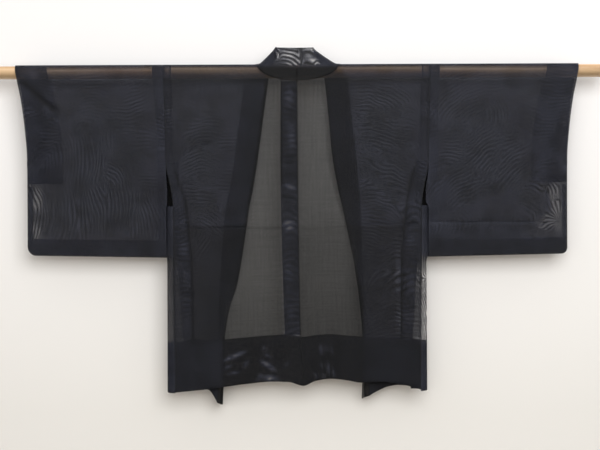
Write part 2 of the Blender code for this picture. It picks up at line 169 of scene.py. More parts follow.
# soft daylight from the right reaches all but the rod and the floor; a strip of ceiling light
# shows the rod as round, pale above and dark below
window_light = area_light("window_light", (0.6, -3.3, 0.75), (0.0, 0.0, -0.2), (2.4, 1.8), 80.5, "#fffefd")
room_light = area_light("room_light", (-0.5, -3.2, -0.3), (0.0, 0.0, -0.3), (2.4, 1.4), 19.0, "#fff9f2")
ceiling_strip = area_light("ceiling_strip", (0.1, -1.3, 2.0), (0.0, 0.0, 0.0), (2.2, 0.5), 62.0, "#fff8f0")
light_only(window_light, unlit=[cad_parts["rod"], floor])
light_only(room_light, unlit=[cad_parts["rod"], floor])
light_only(ceiling_strip, lit=[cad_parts["rod"]])

# the room's own light comes from its bright ceiling and upper walls
world = bpy.data.worlds.new("soft room")
bpy.context.scene.world = world
world.use_nodes = True
tree = world.node_tree
tree.nodes.clear()
where = add(tree, "ShaderNodeTexCoord")
parts = add(tree, "ShaderNodeSeparateXYZ", {0: where.outputs["Generated"]})
height = add(tree, "ShaderNodeMapRange", {"Value": parts.outputs["Z"], "From Min": -0.7, "From Max": 0.9})
glow = ramp(tree, height.outputs[0], (0.0, (0.06, 0.055, 0.045, 1.0)), (1.0, (1.0, 0.99, 0.98, 1.0)))
shine = add(tree, "ShaderNodeBackground", {"Color": glow, "Strength": 0.84})
add(tree, "ShaderNodeOutputWorld", {"Surface": shine.outputs[0]})

camera_data = bpy.data.cameras.new("camera")
camera_data.sensor_width = 36.0
camera_data.lens = 36.0 * (CAMERA_DISTANCE + BACK_Y) / FRAME_WIDTH
camera = new_object("camera", camera_data)
camera_right = Vector((math.cos(CAMERA_TILT), 0.0, -math.sin(CAMERA_TILT)))
camera_up = Vector((math.sin(CAMERA_TILT), 0.0, math.cos(CAMERA_TILT)))
camera.matrix_world = Matrix.Translation(VIEW_CENTRE + Vector((0.0, -CAMERA_DISTANCE, 0.0))) @ Matrix(
    (
        (camera_right.x, camera_up.x, 0.0, 0.0),
        (camera_right.y, camera_up.y, -1.0, 0.0),
        (camera_right.z, camera_up.z, 0.0, 0.0),
        (0.0, 0.0, 0.0, 1.0),
    )
)
bpy.context.scene.camera = camera
bpy.context.scene.view_settings.view_transform = "Standard"
bpy.context.scene.cycles.transparent_max_bounces = 32  # many sheer layers lie behind each other

# ------------------------------------------------------------------ rod
# A plain round pole of planed, lightly oiled pine. It runs through both sleeves and carries the
# whole garment. Its shape is the frame's own.
GRAIN_SCALE = 15.625  # of the wood's light bands, which lie 40 mm apart before they bend

pine, tree = new_material("oiled pine")
where = add(tree, "ShaderNodeTexCoord")
stretched = add(tree, "ShaderNodeMapping", {"Vector": where.outputs["Object"], "Scale": (0.06, 1.0, 1.0)})
rings = add(
    tree,
    "ShaderNodeTexWave",
    {
        "Vector": stretched.outputs[0],
        "Scale": GRAIN_SCALE,
        "Distortion": 5.0,
        "Detail": 2.0,
        "Detail Scale": 1.4,
    },
    wave_type="BANDS",
    bands_direction="DIAGONAL",
)
fibre = add(
    tree,
    "ShaderNodeTexNoise",
    {"Vector": stretched.outputs[0], "Scale": 900.0, "Detail": 3.0, "Roughness": 0.6},
)
tone = add(tree, "ShaderNodeMix", {0: 0.35, 2: rings.outputs["Fac"], 3: fibre.outputs["Fac"]})
colour = ramp(tree, tone.outputs[0], (0.1, linear("#ae885c")), (0.8, linear("#dcbd96")))
bump = add(tree, "ShaderNodeBump", {"Strength": 0.25, "Distance": 0.3 * MM, "Height": fibre.outputs["Fac"]})
shader = add(
    tree,
    "ShaderNodeBsdfPrincipled",
    {
        "Base Color": colour,
        "Roughness": 0.38,
        "Coat Weight": 0.25,
        "Coat Roughness": 0.3,
        "Normal": bump.outputs["Normal"],
    },
)
add(tree, "ShaderNodeOutputMaterial", {"Surface": shader.outputs[0]})
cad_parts["rod"].data.materials.clear()
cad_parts["rod"].data.materials.append(pine)
rod_low, rod_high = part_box("rod")
ROD_RADIUS = (rod_high.z - rod_low.z) / 2 / MM

# ------------------------------------------------------------------ body lengths
# Each half of the body is one bolt of silk gauze with no shoulder seam: from the back hem up
# over the rod and down the front. Both hems are turned up by 11 cm and blind-stitched. The gauze
# is fine, black and half sheer, and where two layers cross it shows a watered figure.
LEFT, RIGHT = -1, 1
SIDES = {LEFT: "left", RIGHT: "right"}
SHOULDER = 303.0  # centre back to the armhole seam
UNDER_LAYERS = 2.1  # room between the rod and the cloth's middle, where the facing lies
DRAPE_RADIUS = ROD_RADIUS + UNDER_LAYERS
QUARTER = DRAPE_RADIUS * math.pi / 2
WALL = 0.5  # drawn thickness of one layer
LAYER_STEP = 1.1  # from one layer's middle to the next one's
SEAM_GAP = 0.02  # half of the parting between two sewn pieces
TURN_UP_STEP = 1.6  # from the cloth to its turned-up hem
HEM_ROUND = 0.8  # radius of the fold at a hem
FRONT_TURN_UP = 112.0
FRONT_TOP = -540.0  # height at which the front's level rows begin
BACK_LOW = -371.0  # the same for the back
HANG_TOP = -27.0  # height at which the cloth comes on to the rod
RELIEF_TOP = -20  # below this height the cloth hangs free, and takes waves and creases
ROW_MIDDLE = 240  # from the centre, where a hem's row gives its place on the drape
ROW_SIDE = 300  # from the centre, where a hem's row meets the gusset
CELL = 5.5  # size of a face on the flat of the cloth
EDGE_STEPS = (0.0, 0.8, 2.0, 3.8)  # finer steps where a seam or fold lies along an edge
CREASE_LEVELS = np.arange(-369, -344, 1.8)  # finer rows where the main storage crease runs
FRONT_FOLD_DEPTH, FRONT_FOLD_WIDTH, FRONT_FOLD_TOP = 11.0, 26.0, -240.0


def curve(keys, values):
    """A smooth function through the given points, level beyond its ends, with no overshoot."""
    order = np.argsort(keys)
    x, y = np.asarray(keys, float)[order], np.asarray(values, float)[order]
    steps = np.diff(y) / np.diff(x)
    same = steps[:-1] * steps[1:] > 0
    middle = np.where(same, 2 * steps[:-1] * steps[1:] / np.where(same, steps[:-1] + steps[1:], 1), 0)
    slopes = np.concatenate([steps[:1], middle, steps[-1:]])

    def at(place):
        place = np.clip(place, x[0], x[-1])
        n = np.clip(np.searchsorted(x, place, side="right") - 1, 0, len(x) - 2)
        span = x[n + 1] - x[n]
        t = (place - x[n]) / span
        return (
            (2 * t**3 - 3 * t**2 + 1) * y[n]
            + (t**3 - 2 * t**2 + t) * span * slopes[n]
            + (3 * t**2 - 2 * t**3) * y[n + 1]
            + (t**3 - t**2) * span * slopes[n + 1]
        )

    return at


def mix(a, b, share):
    return a + (b - a) * share


def by_side(x, curves, along):
    """What the left or the right curve gives, for the side that x is on."""
    return np.where(np.asarray(x) < 0, curves[LEFT](along), curves[RIGHT](along))


def steps_between(start, end, count, edge_steps=EDGE_STEPS):
    """Places from start to end, closer together near both."""
    near = np.array(edge_steps) * np.sign(end - start)
    middle = np.linspace(start + near[-1], end - near[-1], count + 1)
    return np.concatenate([start + near[:-1], middle, (end - near[:-1])[::-1]])


def ease(share):
    """0 to 1, starting and ending level."""
    share = np.clip(share, 0.0, 1.0)
    return share * share * (3 - 2 * share)


body_depth = curve((-760, -311, -220, -90, 0), (13.0, 13.0, 14.0, 16.4, DRAPE_RADIUS))
side_back = curve((-760, -500, -311, -265, -220, -100, 0), (283.5, 286, 288, 294, 303, 305.5, 309.5))
side_front = curve((-760, -500, -311, -265, -220, -100, 0), (261, 275, 289, 295, 303, 305.5, 309.5))
centre_seam = curve((-760, -727, -620, -300, 0), (13.5, 13, 6, 1.5, 0))
BACK_HEM_X = (-300, -209, -110, -63, -22, 13, 40, 75, 110, 147, 190, 237, 296)
BACK_HEM_Z = (-743, -734, -721, -717, -718, -727, -716, -711, -714, -720, -718, -724, -740)
BACK_TURN_UP_Z = (-627, -622, -614, -610, -608, -614, -610, -608, -611, -614, -616, -619, -621)
back_hem = curve(BACK_HEM_X, BACK_HEM_Z)
back_turn_up = curve(BACK_HEM_X, BACK_TURN_UP_Z)
front_hems = {
    LEFT: curve((186, 191, 197, 207, 235, 300), (-773, -763, -752, -740, -733, -740)),
    RIGHT: curve((166, 173, 192, 211, 235, 300), (-754, -749, -740, -733, -729, -737)),
}

# The collar seam and band. place is measured along the drape from the shoulder line, the back
# being positive; lean is the band's direction in the cloth, turn how far it has left it.
COLLAR_TABLES = {
    LEFT: {
        "place": (48.5, 47.6, 44.1, 40.2, 35.8, 30.1, 26.8, 23, 13.4, 6, 0, -13.4, -26.9, -42.9, -77,
                  -127, -207, -277, -367, -427, -522, -579, -637, -707, -795),
        "across": (0, 22, 45, 58, 70, 80, 83.4, 87, 92, 94, 95, 97, 106, 121, 126,
                   133, 144, 154, 170, 174.5, 181, 184, 184.5, 185, 188),
        "lean": (90, 89, 83, 77, 69, 61, 58, 55, 45, 31, 16, -13, -24, -13, -4,
                 0, 0, 0, 0, 0, 0, 0, 0, 6, 18),
        "turn": (0, -0.5, -2, -4, -7, -11, -13, -4, 18, 31, 41, 35, 27, 28, 36,
                 38, 38, 39, 40, 47, 62, 80, 91, 97, 99),
        "width": (75, 74.5, 72, 70, 69, 69, 68.5, 68, 67, 65.5, 65, 62, 61, 62, 63,
                  64, 64, 64, 64, 64, 64, 64, 64, 64, 64),
    },
    RIGHT: {
        "place": (48.5, 47.6, 44.1, 40.2, 35.8, 30.1, 26.8, 23, 13.4, 6, 0, -13.4, -26.9, -42.9, -77,
                  -127, -207, -277, -367, -427, -482, -567, -637, -707, -781),
        "across": (0, 24, 46, 59, 72, 83, 86.9, 91, 96, 98.5, 100, 102, 108, 117, 122,
                   127, 136, 142, 148.5, 150, 151.5, 158, 164.5, 166, 167),
        "lean": (90, 89, 77, 69, 60, 52, 48, 45, 37, 25, 13, -13, -23, -12, -4,
                 0, 0, 0, 0, 0, 0, 0, 0, 6, 18),
        "turn": (0, -0.5, -2, -4, -7, -11, -13, -5, 13, 25, 33, 31, 26, 33, 38,
                 40, 36, 45, 64, 77, 87, 92, 92, 91, 86),
        "width": (75, 74.5, 73, 72.5, 74, 75, 75, 75, 75, 73.5, 71, 67, 62, 62, 63,
                  64, 64, 64, 64, 64, 64, 64, 64, 64, 64),
    },
}
COLLAR_START = 48.5
collar_curves = {
    side: {column: curve(table["place"], table[column]) for column in table if column != "place"}
    for side, table in COLLAR_TABLES.items()
}

CREASE_WAVER, CREASE_WAVER_RUN = 1.2, 19
CREASE_FADE = 25  # from a crease's end to its full depth
# Storage creases and soft folds: from x, z to x, z, half width, depth (a trough is positive).
BACK_CREASES = {
    "x0": (146, -286, -244, 246, 60, -60, -288, 190, 110, -200, 235, -262, -288),
    "z0": (-355, -360, -444, -132, -364, -362, -522, -560, -500, -150, -420, -590, -186),
    "x1": (294, -20, -188, 286, 146, 60, -205, 288, 150, -296, 292, -206, -258),
    "z1": (-353, -363, -445, -190, -356, -364, -519, -556, -506, -212, -417, -594, -300),
    "width": (2.6, 2.6, 3.0, 7.0, 2.6, 2.6, 3.5, 4.0, 4.0, 9.0, 3.5, 4.0, 5.0),
    "depth": (2.0, 1.5, 1.6, 1.8, 0.8, 0.8, 1.1, 1.0, 0.8, 1.3, 1.1, 1.0, 1.0),
}
FRONT_CREASES = {
    "x0": (168, -288, -250, 180, -230, 200),
    "z0": (-352, -366, -470, -120, -140, -585),
    "x1": (290, -178, -190, 292, -294, 282),
    "z1": (-355, -362, -468, -215, -220, -580),
    "width": (3.0, 3.0, 3.5, 9.0, 8.0, 4.0),
    "depth": (2.0, 1.8, 1.3, 1.5, 1.4, 1.1),
}


def crease_depth(x, z, table):
    """How far the creases of a table push the cloth in. Each wavers and fades out at its ends."""
    total = np.zeros(np.broadcast(x, z).shape)
    for x0, z0, x1, z1, width, depth in zip(*table.values()):
        run = np.array((x1 - x0, z1 - z0), float)
        length = np.hypot(*run)
        along = ((x - x0) * run[0] + (z - z0) * run[1]) / length**2
        away = ((x - x0) * run[1] - (z - z0) * run[0]) / length
        away = away + CREASE_WAVER * np.sin(along * length / CREASE_WAVER_RUN)
        ends = ease(np.minimum(along, 1 - along) * length / CREASE_FADE + 0.3)
        total = total + depth * ends * np.exp(-((away / width) ** 2))
    return total


def soft_waves(x, z, seed, wavelengths=(260, 190, 130, 85), slope=1 / 420):
    """The slight unevenness of hanging cloth, in millimetres, the same for the same seed."""
    draw = np.random.default_rng(seed)
    total = np.zeros(np.broadcast(x, z).shape)
    for wavelength in wavelengths:
        angle, phase = draw.uniform(-0.6, 0.6), draw.uniform(0, 2 * math.pi)
        total = total + wavelength * slope * np.sin(
            2 * math.pi * (x * math.cos(angle) + z * math.sin(angle)) / wavelength + phase
        )
    return total


def place_of(z):
    """The place on the drape of a height below the rod, down the back."""
    return QUARTER - z


def on_drape(place):
    """y and z of the cloth at a distance along the drape from the shoulder line."""
    side = -1 if place >= 0 else 1
    far = abs(place)
    if far < QUARTER:
        angle = far / DRAPE_RADIUS
        return side * DRAPE_RADIUS * math.sin(angle), DRAPE_RADIUS * math.cos(angle)
    return side * float(body_depth(QUARTER - far)), QUARTER - far


def seam_across(x, z):
    """Distance of the front's collar seam from the centre, on the side that x is on."""
    place = -place_of(z)
    left, right = (collar_curves[side]["across"](place) for side in SIDES)
    return np.where(x < 0, left, right)


def hanging_relief(x, z, back):
    """How far the cloth stands out of its flat form below the rod: waves, creases and folds."""
    x, z = np.broadcast_arrays(x, z)
    table, seed = (BACK_CREASES, 11) if back else (FRONT_CREASES, 23)
    out = soft_waves(x, z, seed) - crease_depth(x, z, table)
    edge = (side_back if back else side_front)(z)
    out = out * ease((edge - np.abs(x)) / 20)
    if not back:
        inner = seam_across(x, z)
        offset = (np.abs(x) - inner - 1.6 * FRONT_FOLD_WIDTH) / FRONT_FOLD_WIDTH
        out = out + FRONT_FOLD_DEPTH * ease((FRONT_FOLD_TOP - z) / 260) * np.exp(-offset * offset)
        out = out * ease((np.abs(x) - inner) / 25)
    return out * ease((RELIEF_TOP - z) / 70)


def body_points(x, place, level=None, inset=0.0):
    """Points of a body length at one place of the drape, or at their own heights below it."""
    y, z = on_drape(place)
    level = np.full_like(x, z) if level is None else level
    way = -1 if place >= 0 else 1
    if abs(place) < QUARTER:
        share = 1 - inset / DRAPE_RADIUS
        return np.stack([x, np.full_like(x, y * share), level * share], axis=1)
    out = hanging_relief(x, level, place >= 0)
    return np.stack([x, np.full_like(x, y) + way * (out - inset), level], axis=1)


def front_seam_place(side, height):
    """Where a row of the front, at a height that varies across it, meets the collar."""
    place = -place_of(float(height(side * 180)))
    for _ in range(6):
        place = -place_of(float(height(side * collar_curves[side]["across"](place))))
    return place


def front_hem(x):
    return by_side(x, front_hems, np.abs(x))


def front_turn_up(x):
    return front_hem(x) + FRONT_TURN_UP


def body_row(side, place, columns, height=None, inset=0.0):
    """Points across one body length at a place of the drape, or at a height that varies."""
    z = on_drape(place)[1]
    edge_z = float(height(side * ROW_SIDE)) if height else z
    outer = float((side_back if place >= 0 else side_front)(edge_z))
    if place <= COLLAR_START:
        seam_place = front_seam_place(side, height) if height else place
        inner = max(float(collar_curves[side]["across"](seam_place)), SEAM_GAP)
    else:
        middle_z = float(height(0)) if height else z
        inner = SEAM_GAP + side * float(centre_seam(middle_z))
    x = side * steps_between(outer, inner, columns)
    return body_points(x, place, height(x) if height else None, inset)


HEM_ROWS = 20  # down the inside of a turned-up hem, and again up its outside


def between(low, high, share, lift=0.0):
    """A row's height, as a function across it, a share of the way from one height to another."""
    return lambda at: mix(low(at) + lift, high(at), share)


def level_at(z):
    """A row's height that is the same all across it."""
    return lambda at: np.asarray(at) * 0.0 + z


def hem_rows(side, back, hem, turn_up, top, columns):
    """Rows of a turned-up hem: down the inside, round the fold and up the outside to top."""

    def row(height, inset=0.0):
        middle = place_of(float(height(side * ROW_MIDDLE))) * (1 if back else -1)
        return body_row(side, middle, columns, height, inset)

    shares = np.linspace(1, 0, HEM_ROWS)
    rows = [row(between(hem, turn_up, share, HEM_ROUND), TURN_UP_STEP) for share in shares]
    for turn in np.radians((45, 90, 135)):
        lift = HEM_ROUND * (1 - math.sin(turn))
        rows.append(row(between(hem, hem, 0, lift), TURN_UP_STEP * (1 + math.cos(turn)) / 2))
    rows += [row(between(hem, turn_up, share, HEM_ROUND)) for share in shares[::-1]]
    count = round(abs(float(turn_up(side * 200)) - top) / CELL)
    rows += [row(between(turn_up, level_at(top), k / count)) for k in range(1, count)]
    return rows


def body_grid(side, columns=52):
    """Rows from the back's turned-up hem up, over the rod and down to the front's."""
    rows = hem_rows(side, True, back_hem, back_turn_up, BACK_LOW, columns)
    levels = [*CREASE_LEVELS, *np.arange(CREASE_LEVELS[-1] + 3, HANG_TOP, CELL)]
    rows += [body_row(side, place_of(z), columns) for z in levels]
    near = (50, 48.5, 48.1, 47.6, 46.5, 45.3, 44.1, 42.2, 40.2, 38, 35.8, 33, 30.1, 26.9)
    over = [*near, *np.arange(24, -27, -2.0), -29, -32, -36, -42.9]
    rows += [body_row(side, place, columns) for place in over]
    down_front = np.arange(-47, -place_of(FRONT_TOP), -CELL)
    rows += [body_row(side, place, columns) for place in down_front]
    rows += reversed(hem_rows(side, False, front_hem, front_turn_up, FRONT_TOP, columns))
    return np.array(rows)


def apply_modifiers(made, name):
    """Turns an object's modifiers into a plain mesh, and returns that mesh."""
    graph = bpy.context.evaluated_depsgraph_get()
    start = made.data
    plain = bpy.data.meshes.new_from_object(made.evaluated_get(graph), depsgraph=graph)
    made.modifiers.clear()
    made.data = plain
    bpy.data.meshes.remove(start)
    plain.name = name
    return plain


def face_outwards(mesh):
    """Turns all faces of a closed mesh outwards and shades it smooth."""
    outward = bmesh.new()
    outward.from_mesh(mesh)
    bmesh.ops.recalc_face_normals(outward, faces=outward.faces)
    outward.to_mesh(mesh)
    outward.free()
    mesh.shade_smooth()


def cloth(name, grid, material, paint, wall=WALL, closed=False, extra_faces=()):
    """A thin shell on a grid of points.

    The threads' directions become its UV map, in metres, and what paint gives for each point
    becomes its attributes.
    """
    rows, columns = grid.shape[:2]
    index = np.arange(rows * columns).reshape(rows, columns)
    above = np.roll(index, -1, axis=0) if closed else index[1:]
    below = index if closed else index[:-1]
    faces = np.stack([below[:, :-1], below[:, 1:], above[:, 1:], above[:, :-1]], axis=-1)
    faces = faces.reshape(-1, 4).tolist()
    faces += [[int(index[i, j]) for i, j in corners] for corners in extra_faces]
    mesh = bpy.data.meshes.new(name)
    mesh.from_pydata((grid.reshape(-1, 3) * MM).tolist(), [], faces)
    down = np.linalg.norm(np.diff(grid, axis=0, prepend=grid[:1]), axis=2).mean(axis=1).cumsum()
    across = np.linalg.norm(np.diff(grid, axis=1, prepend=grid[:, :1]), axis=2).mean(axis=0).cumsum()
    threads = np.stack(np.broadcast_arrays(across[None, :], down[:, None]), axis=-1).reshape(-1, 2)
    corners = np.zeros(len(mesh.loops), np.int32)
    mesh.loops.foreach_get("vertex_index", corners)
    layer = mesh.uv_layers.new(name="threads")
    layer.data.foreach_set("uv", (threads[corners] * MM).ravel().astype(np.float32))
    for attribute, values in paint(grid).items():
        values = np.broadcast_to(values, (rows, columns)).ravel().astype(np.float32)
        mesh.attributes.new(attribute, "FLOAT", "POINT").data.foreach_set("value", values)
    mesh.materials.append(material)
    made = new_object(name, mesh)
    thick = made.modifiers.new("wall", "SOLIDIFY")
    thick.thickness = wall * MM
    thick.offset = 0.0
    face_outwards(apply_modifiers(made, name))
    return made


def sew_on(piece, replaces=None):
    """Hides the frame's part that a piece of cloth replaces, if any, and hangs the piece on the root."""
    if replaces:
        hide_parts(replaces)
    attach(piece, "root")


WEAVE_SCALE = 41.666667  # of the faint ribs, 7.5 mm apart, that stand for a weave of 0.5 mm
PAINTED = ("cover", "figure", "fringe", "bloom")  # what a cloth's points hold for its material


def gauze(name, deep_colour, painted_sheen_colour, bright_colour, shine, sheen):
    """Silk gauze, threads over open holes. What is painted on its points sets how close it is
    (cover), how strong its watered figure is and where its lines run (figure and fringe), and
    how much lighter its colour is made: the pressed cloth's paler tone, with painted sheen and
    painted highlights.
    """
    made, tree = new_material(name)
    where = add(tree, "ShaderNodeTexCoord")
    threads = add(tree, "ShaderNodeUVMap", uv_map="threads")
    painted = [add(tree, "ShaderNodeAttribute", attribute_name=label) for label in PAINTED]
    cover, figure, fringe, bloom = (node.outputs["Fac"] for node in painted)
    # the watered figure: one light line for each whole step of fringe, a little uneven
    place = where.outputs["Object"]
    drift = add(tree, "ShaderNodeTexNoise", {"Vector": place, "Scale": 34.0, "Detail": 0.0})
    drifted = {0: drift.outputs["Fac"], 1: 0.3, 2: fringe}
    lines = add(tree, "ShaderNodeMath", drifted, operation="MULTIPLY_ADD")
    turns = add(tree, "ShaderNodeMath", {0: lines.outputs[0], 1: 2 * math.pi}, operation="MULTIPLY")
    wave = add(tree, "ShaderNodeMath", {0: turns.outputs[0]}, operation="SINE")
    light = add(tree, "ShaderNodeMath", {0: wave.outputs[0], 1: 0.5, 2: 0.5}, operation="MULTIPLY_ADD")
    # patches where the figure comes and goes
    patchy = add(tree, "ShaderNodeTexNoise", {"Vector": place, "Scale": 24.0, "Detail": 2.0})
    amount = add(
        tree,
        "ShaderNodeMapRange",
        {"Value": patchy.outputs["Fac"], "From Min": 0.35, "From Max": 0.62, "To Min": 0.65, "To Max": 1.2},
    )
    strength = add(tree, "ShaderNodeMath", {0: amount.outputs[0], 1: figure}, operation="MULTIPLY")
    gaps = {0: light.outputs[0], 1: strength.outputs[0]}
    opened = add(tree, "ShaderNodeMath", gaps, operation="MULTIPLY")
    # slubs: single threads that are a little thicker, along the warp and the weft
    slubs = []
    for scale in ((0.05, 1.0, 1.0), (1.0, 0.035, 1.0)):
        stretched = add(tree, "ShaderNodeMapping", {"Vector": threads.outputs["UV"], "Scale": scale})
        streaks = {"Vector": stretched.outputs[0], "Scale": 320.0, "Detail": 2.0}
        slubs.append(add(tree, "ShaderNodeTexNoise", streaks).outputs["Fac"])
    both = add(tree, "ShaderNodeMath", {0: slubs[0], 1: slubs[1]}, operation="ADD")
    uneven = add(
        tree,
        "ShaderNodeMapRange",
        {"Value": both.outputs[0], "From Min": 0.7, "From Max": 1.3, "To Min": 0.95, "To Max": 1.05},
    )
    threads_left = {0: uneven.outputs[0], 1: opened.outputs[0]}
    shut = add(tree, "ShaderNodeMath", threads_left, operation="SUBTRACT")
    closeness = {0: shut.outputs[0], 1: cover}
    alpha = add(tree, "ShaderNodeMath", closeness, operation="MULTIPLY", use_clamp=True)
    weave = []
    for direction in ("X", "Y"):
        rows = add(
            tree,
            "ShaderNodeTexWave",
            {
                "Vector": threads.outputs["UV"],
                "Scale": WEAVE_SCALE,
                "Distortion": 0.5,
                "Detail": 1.0,
            },
            bands_direction=direction,
        )
        weave.append(rows.outputs["Fac"])
    crossed = add(tree, "ShaderNodeMath", {0: weave[0], 1: weave[1]}, operation="ADD")
    ribs = {"Strength": 0.35, "Distance": 0.12 * MM, "Height": crossed.outputs[0]}
    bump = add(tree, "ShaderNodeBump", ribs)
    # the colour swings with the figure, which paints its light lines into the colour: fully, where that is
    # half or more
    swing = add(tree, "ShaderNodeMath", {0: figure, 1: 2.0}, operation="MULTIPLY", use_clamp=True)
    swung = {0: wave.outputs[0], 1: swing.outputs[0], 2: 1.0}
    watered = add(tree, "ShaderNodeMath", swung, operation="MULTIPLY_ADD")
    patched = {0: amount.outputs[0], 1: watered.outputs[0]}
    bright = add(tree, "ShaderNodeMath", patched, operation="MULTIPLY")
    # painted sheen: the colour is made lighter by the painted amount, up to a pale highlight colour
    painted_sheen = add(tree, "ShaderNodeMath", {0: bright.outputs[0], 1: bloom}, operation="MULTIPLY")
    half = add(tree, "ShaderNodeMath", {0: painted_sheen.outputs[0], 1: 0.5}, operation="MULTIPLY")
    stops = ((0.0, linear(deep_colour)), (0.5, linear(painted_sheen_colour)), (1.0, linear(bright_colour)))
    colour = ramp(tree, half.outputs[0], *stops)
    shader = add(
        tree,
        "ShaderNodeBsdfPrincipled",
        {
            "Base Color": colour,
            "Roughness": 0.6,
            "Specular IOR Level": shine,
            "Sheen Weight": sheen,
            "Sheen Roughness": 0.4,
            "Alpha": alpha.outputs[0],
            "Normal": bump.outputs["Normal"],
        },
    )
    add(tree, "ShaderNodeOutputMaterial", {"Surface": shader.outputs[0]})
    return made


# black silk gauze: half sheer and matt; where it is painted lighter its colour turns a faint blue, which is
# the pressed cloth's tone together with painted sheen
black_gauze = gauze("black silk gauze", "#111214", "#393c49", "#6e6c6b", 0.12, 0.03)


def spots(x, z, table):
    """The strongest of a table's soft spots at each point."""
    total = np.zeros(np.broadcast(x, z).shape)
    for cx, cz, rx, rz, strength in zip(*table.values()):
        total = np.maximum(total, strength * np.exp(-(((x - cx) / rx) ** 2) - ((z - cz) / rz) ** 2))
    return total


PATCH_EDGE = 7.0  # how soon one patch of the watered figure gives way to the next


def fringes(x, z, table, seed, wander=1 / 300, fans=()):
    """Steps of the watered figure's light lines, from patches with their own run and spacing.

    A patch has its centre and reach, the way its lines are crossed (0 along x, 90 up), how they
    bend, and their spacing. A fan has its centre and reach, and how many rays run from it.
    """
    patches, away = [], []
    for cx, cz, reach, way, bend, spacing in zip(*table.values()):
        dx, dz = x - cx, z - cz
        angle = math.radians(way)
        u = dx * math.cos(angle) + dz * math.sin(angle)
        v = dz * math.cos(angle) - dx * math.sin(angle)
        patches.append((u + bend * v * v / reach) / spacing)
        away.append((dx * dx + dz * dz) / reach**2)
    for cx, cz, reach, rays in fans:
        dx, dz = x - cx, z - cz
        patches.append(rays * np.arctan2(dz * 0.7, dx) / (2 * math.pi))
        away.append((dx * dx + dz * dz) / reach**2)
    weights = np.exp(PATCH_EDGE * (np.min(away, axis=0) - np.array(away)))
    blended = (weights * np.array(patches)).sum(axis=0) / weights.sum(axis=0)
    return blended + soft_waves(x, z, seed, (70, 48, 33), wander)


def line_at(distance, half_width):
    """1 on a line, fading to 0 within about two half widths of it."""
    return np.exp(-((distance / half_width) ** 2))


def over_rod(z):
    """1 where the cloth passes over the rod, 0 where it hangs below."""
    return ease((z + ROD_RADIUS + 6) / 6)


def under_rod_shade(z):
    """1 just below the rod, fading to 0 at 75 mm down: the cloth is made closer there, as painted shade for
    the rod's shadow.
    """
    return ease((z + 75) / 45)


def on_rod_cover(z):
    """Change of cover over the rod: open where it is pulled tight, closed up where it bends, and closer in
    a line just below it, as painted shade for the rod's shadow.
    """
    top = ease((z - 0.55 * ROD_RADIUS) / (0.5 * ROD_RADIUS))
    low = ease((2 - z) / 14)
    return over_rod(z) * (0.03 * low - 0.08 * (1 - low)) + 0.29 * top + 0.1 * line_at(z + 24, 9)


def on_rod_painted_light(z):
    """Painted light and shade in the colour: lighter over the rod, and a painted shadow of the rod just
    below it.
    """
    return 1 + 0.3 * over_rod(z) - 0.7 * line_at(z + 20, 9)


# patches of the watered figure: on the wearer's left, on the right, and on the centre strip
BODY_FRINGES = {
    "x": (-205, -262, -205, -160, -215, -150, -225, -262, -262, -262, -210, -90, -70, -120, -150,
          180, 130, 200, 265, 170, 225, 262, 234, 234, 262, 60, 75, 110, 240,
          -18, -18, -18, -18, -18, -18),
    "z": (-40, -80, -130, -150, -215, -260, -300, -320, -400, -520, -520, -700, -718, -650, -690,
          -60, -200, -150, -140, -300, -240, -330, -420, -560, -480, -705, -650, -670, -700,
          -80, -180, -265, -355, -450, -560),
    "reach": (50, 50, 60, 50, 60, 60, 60, 40, 50, 60, 70, 40, 30, 50, 40,
              70, 60, 70, 50, 80, 70, 40, 36, 40, 50, 36, 36, 40, 40,
              50, 50, 40, 40, 50, 60),
    "way": (4, 80, 92, 100, 84, 96, 78, 92, 100, 88, 85, 118, 150, 122, 60,
            73, 78, 70, 60, 82, 66, 92, 96, 92, 92, 8, 12, 120, 20,
            84, 96, 88, 92, 80, 98),
    "bend": (0.6, 0.3, 0.3, -0.5, 0.5, -0.3, 0.4, 0.6, -0.6, 0.5, 0.3, 0.3, 0.8, -0.3, 0.3,
             0.2, 0.3, 0.15, 0.3, 0.2, 0.1, 0.3, 0.2, 0.2, 0.3, 0.1, 0.1, -0.4, 0.5,
             0.6, -0.6, 0.4, 0.5, 0.8, -0.6),
    "spacing": (8.0, 8.0, 7.8, 7.8, 8.0, 7.8, 8.4, 9, 11, 11, 8.6, 17, 15, 19, 16,
                8.2, 8.0, 8.0, 8.2, 8.4, 8.0, 17, 10, 10, 17, 12, 12, 14, 13,
                15, 13, 18, 18, 15, 14),
}
# where the figure is stronger
BODY_SPOTS = {
    "x": (-95, -140, -110, 232, 236, 247, -262, -262, -250, -200, -215, 200, 190),
    "z": (-680, -660, -640, -470, -560, -485, -345, -400, -560, -60, -150, -110, -200),
    "rx": (55, 30, 60, 10, 10, 5, 20, 20, 20, 60, 60, 70, 70),
    "rz": (26, 40, 14, 90, 70, 60, 30, 24, 120, 50, 80, 90, 80),
    "strength": (0.3, 0.25, 0.25, 0.7, 0.9, 0.9, 0.34, 0.34, 0.26, 0.26, 0.26, 0.27, 0.26),
}
# painted sheen where the cloth lies doubled: on the centre strip and the allowances
BODY_SHEEN_SPOTS = {
    "x": (-285, -16, -20, -14, -20, -18, -16, -262, -262, -255, -255, 262, 262, 234, 236),
    "z": (-680, -267, -356, -150, -480, -60, -560, -345, -410, -480, -570, -380, -500, -470, -570),
    "rx": (12, 14, 14, 12, 12, 12, 12, 18, 18, 14, 14, 14, 14, 9, 9),
    "rz": (60, 14, 14, 40, 60, 30, 30, 24, 24, 40, 50, 60, 60, 60, 50),
    "strength": (0.3, 1.2, 1.2, 0.8, 0.6, 0.8, 0.6, 0.6, 0.6, 0.5, 0.5, 0.5, 0.5, 0.8, 0.8),
}
